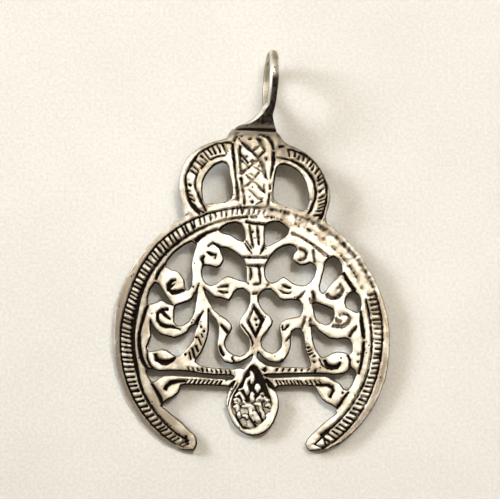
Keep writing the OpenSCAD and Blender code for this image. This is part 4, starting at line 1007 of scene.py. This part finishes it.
def pinholes(tree, place):
    """Scattered pinholes, 1 inside each: half of the cells they lie in are left sound."""
    cells = add_node(tree, "ShaderNodeTexVoronoi", {"Vector": place, "Scale": PINHOLE_SCALE})
    odd = add_node(tree, "ShaderNodeSeparateColor", {"Color": cells.outputs["Color"]})
    sound = maths(tree, "GREATER_THAN", odd.outputs["Red"], 0.5)
    away = maths(tree, "ADD", cells.outputs["Distance"], sound)
    return remap(tree, away, PINHOLE_R[1], PINHOLE_R[0])


def silver_colour(tree, finish, black, brown, shade, pits, specks):
    """Colour of the silver: the metal, then rubbed, brown, pitted and dulled places, and the black over them."""
    darker = [channel * 0.75 for channel in finish.silver]
    colour = mixed(tree, remap(tree, specks, 0.35, 0.7, 0, 0.5), finish.silver, darker)
    for cover, strength, tone in (
            (attribute(tree, "rubbed"), 0.8, finish.skin_wear),
            (brown, 0.8, finish.grime_and_shade),
            (pits, 0.9, finish.tarnish_and_shade),
            (shade, 0.95, finish.tarnish_and_shade)):
        colour = mixed(tree, maths(tree, "MULTIPLY", cover, strength), colour, tone)
    return mixed(tree, black, colour, finish.tarnish_and_shade)


def aged_silver(finish):
    """Cast silver: rubbed bright on top, black in the grooves, brown where the two meet."""
    material, tree, shader = fresh_material("aged_silver")
    place = object_place(tree)
    blotches = noise(tree, place, BLOTCH_SCALE, 4)
    mottle = noise(tree, place, MOTTLE_SCALE, 4, 0.65)
    specks = noise(tree, place, SPECK_SCALE)
    pits = pinholes(tree, place)

    uneven = swing(tree, mottle, 0.5, 0.7)
    black = remap(tree, maths(tree, "ADD", attribute(tree, "tarnish_and_shade"), uneven), 0.34, 0.64)
    # Brown from the stored grime and painted shade, broken up by blotches
    soil_and_shade = maths(tree, "ADD", attribute(tree, "grime_and_shade"), swing(tree, blotches, 0.5, 1.2))
    brown = remap(tree, maths(tree, "ADD", soil_and_shade, uneven), 0.02, 0.88)
    dull = attribute(tree, "shade")
    shade = maths(tree, "SUBTRACT", dull, maths(tree, "MULTIPLY", swing(tree, mottle, 0.48, 0.7), dull))
    tree.links.new(silver_colour(tree, finish, black, brown, shade, pits, specks), shader.inputs["Base Color"])

    cover = maths(tree, "MAXIMUM", black, shade)
    rough = remap(tree, mottle, 0.3, 0.7, finish.roughness - 0.06, finish.roughness + 0.12)
    for name, bare, operation, covered in (
            ("Specular IOR Level", 0.5, "SUBTRACT", 0.4),
            ("Metallic", 0.95, "SUBTRACT", 0.85),
            ("Roughness", rough, "ADD", 0.35)):
        value = maths(tree, operation, bare, maths(tree, "MULTIPLY", cover, covered))
        tree.links.new(value, shader.inputs[name])

    relief = maths(tree, "ADD", maths(tree, "MULTIPLY", mottle, 0.5), maths(tree, "MULTIPLY", specks, 0.4))
    relief = maths(tree, "SUBTRACT", relief, maths(tree, "MULTIPLY", pits, 0.6))
    roughen(tree, shader, relief, 0.6, SILVER_RELIEF)
    return material


def room_light(stage):
    """Light from all round: pale overhead, browner towards the floor and darkest to the lower right."""
    world = bpy.data.worlds.new("room")
    world.use_nodes = True
    tree = world.node_tree
    background = tree.nodes["Background"]
    around = add_node(tree, "ShaderNodeTexCoord").outputs["Generated"]
    direction = add_node(tree, "ShaderNodeSeparateXYZ", {"Vector": around})
    across = maths(tree, "MULTIPLY", direction.outputs["X"], -0.35)
    along = maths(tree, "MULTIPLY", direction.outputs["Y"], 0.3)
    lift = maths(tree, "ADD", direction.outputs["Z"], maths(tree, "ADD", across, along))
    colour = mixed(tree, remap(tree, lift, 0.25, 1.05), ROOM_LOW, ROOM_HIGH)
    tree.links.new(colour, background.inputs["Color"])
    background.inputs["Strength"].default_value = stage.sky
    return world


def pale_floor(stage):
    """Matt pale paper with a fine even grain."""
    material, tree, shader = fresh_material("pale_floor")
    place = object_place(tree)
    grain = noise(tree, place, PAPER_GRAIN_SCALE)
    cloud = noise(tree, place, PAPER_CLOUD_SCALE, 2)
    both = maths(tree, "ADD", maths(tree, "MULTIPLY", grain, 0.75), maths(tree, "MULTIPLY", cloud, 0.25))
    darker = [channel * 0.88 for channel in stage.floor]
    colour = mixed(tree, remap(tree, both, 0.35, 0.65), darker, stage.floor)
    tree.links.new(colour, shader.inputs["Base Color"])
    shader.inputs["Roughness"].default_value = 0.9
    roughen(tree, shader, grain, 0.4, PAPER_RELIEF)
    return material


def add_area_light(name, place, target, size, watts, colour, spread=180):
    """A square soft light at a place, facing a target, with its beam as wide as the spread in degrees."""
    deselect_all()
    bpy.ops.object.light_add(type="AREA", location=place)
    lamp = bpy.context.object
    lamp.name = name
    lamp.data.shape = "SQUARE"
    lamp.data.size = size
    lamp.data.energy = watts
    lamp.data.color = colour
    lamp.data.spread = math.radians(spread)
    lamp.rotation_euler = (Vector(target) - Vector(place)).to_track_quat("-Z", "Y").to_euler()


class PENDANT_OT_stage(bpy.types.Operator):
    """Lay a pale floor under the pendant, hang the soft lights and set the camera above it"""

    bl_idname = "pendant.stage"
    bl_label = "Stage"

    def execute(self, context):
        stage = context.scene.pendant_stage
        deselect_all()
        bpy.ops.mesh.primitive_plane_add(size=FLOOR_SIZE, location=(0, 0, 0))
        floor = context.object
        floor.name = "floor"
        floor.data.materials.append(pale_floor(stage))

        add_area_light("overhead", place=(0.12, 0.2, 0.5), target=(0.03, 0.05, 0), size=0.26, watts=stage.top_watts,
                       colour=(1, 0.96, 0.88), spread=24)
        add_area_light("key", place=(-0.75, 0.32, 0.56), target=(0, 0, 0), size=0.34, watts=stage.key_watts,
                       colour=(0.88, 0.945, 1))
        context.scene.world = room_light(stage)
        context.scene.view_settings.view_transform = "Standard"

        deselect_all()
        target = Vector(PHOTO_MIDDLE) * MM
        bpy.ops.object.camera_add(location=target + stage.camera_distance * Vector(
            (0, -math.sin(stage.camera_lean), math.cos(stage.camera_lean))))
        camera = context.object
        camera.rotation_euler = (stage.camera_lean, 0, 0)
        camera.data.sensor_width = SENSOR_MM
        camera.data.lens = SENSOR_MM * stage.camera_distance / (PHOTO_W * PHOTO_MM_PER_PIXEL * MM)
        camera.data.clip_start = NEAREST_SEEN
        context.scene.camera = camera
        return {"FINISHED"}


class PENDANT_PT_sidebar(bpy.types.Panel):
    """Settings of the pendant and its stage, and a button for each step"""

    bl_idname = "PENDANT_PT_sidebar"
    bl_label = "Openwork pendant"
    bl_space_type = "VIEW_3D"
    bl_region_type = "UI"
    bl_category = "Pendant"

    def draw(self, context):
        layout = self.layout
        for name in SETTINGS:
            group, box = getattr(context.scene, name), layout.box()
            for setting in group.__annotations__:
                box.prop(group, setting)
        layout.operator(PENDANT_OT_cast_pendant.bl_idname)
        layout.operator(PENDANT_OT_stage.bl_idname)


SETTINGS = {"pendant_shape": PendantShape, "pendant_finish": PendantFinish, "pendant_stage": PendantStage}
CLASSES = (*SETTINGS.values(), PENDANT_OT_cast_pendant, PENDANT_OT_stage, PENDANT_PT_sidebar)


def register():
    """Adds the classes to Blender and their settings to the scene."""
    for cls in CLASSES:
        bpy.utils.register_class(cls)
    for name, group in SETTINGS.items():
        setattr(bpy.types.Scene, name, bpy.props.PointerProperty(type=group))


def unregister():
    """Takes the settings and the classes out again."""
    for name in SETTINGS:
        delattr(bpy.types.Scene, name)
    for cls in reversed(CLASSES):
        bpy.utils.unregister_class(cls)


def main():
    """Builds the pendant and its stage."""
    register()
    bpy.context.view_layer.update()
    bpy.ops.pendant.cast_pendant()
    bpy.ops.pendant.stage()
    deselect_all()


if __name__ == "__main__":
    main()
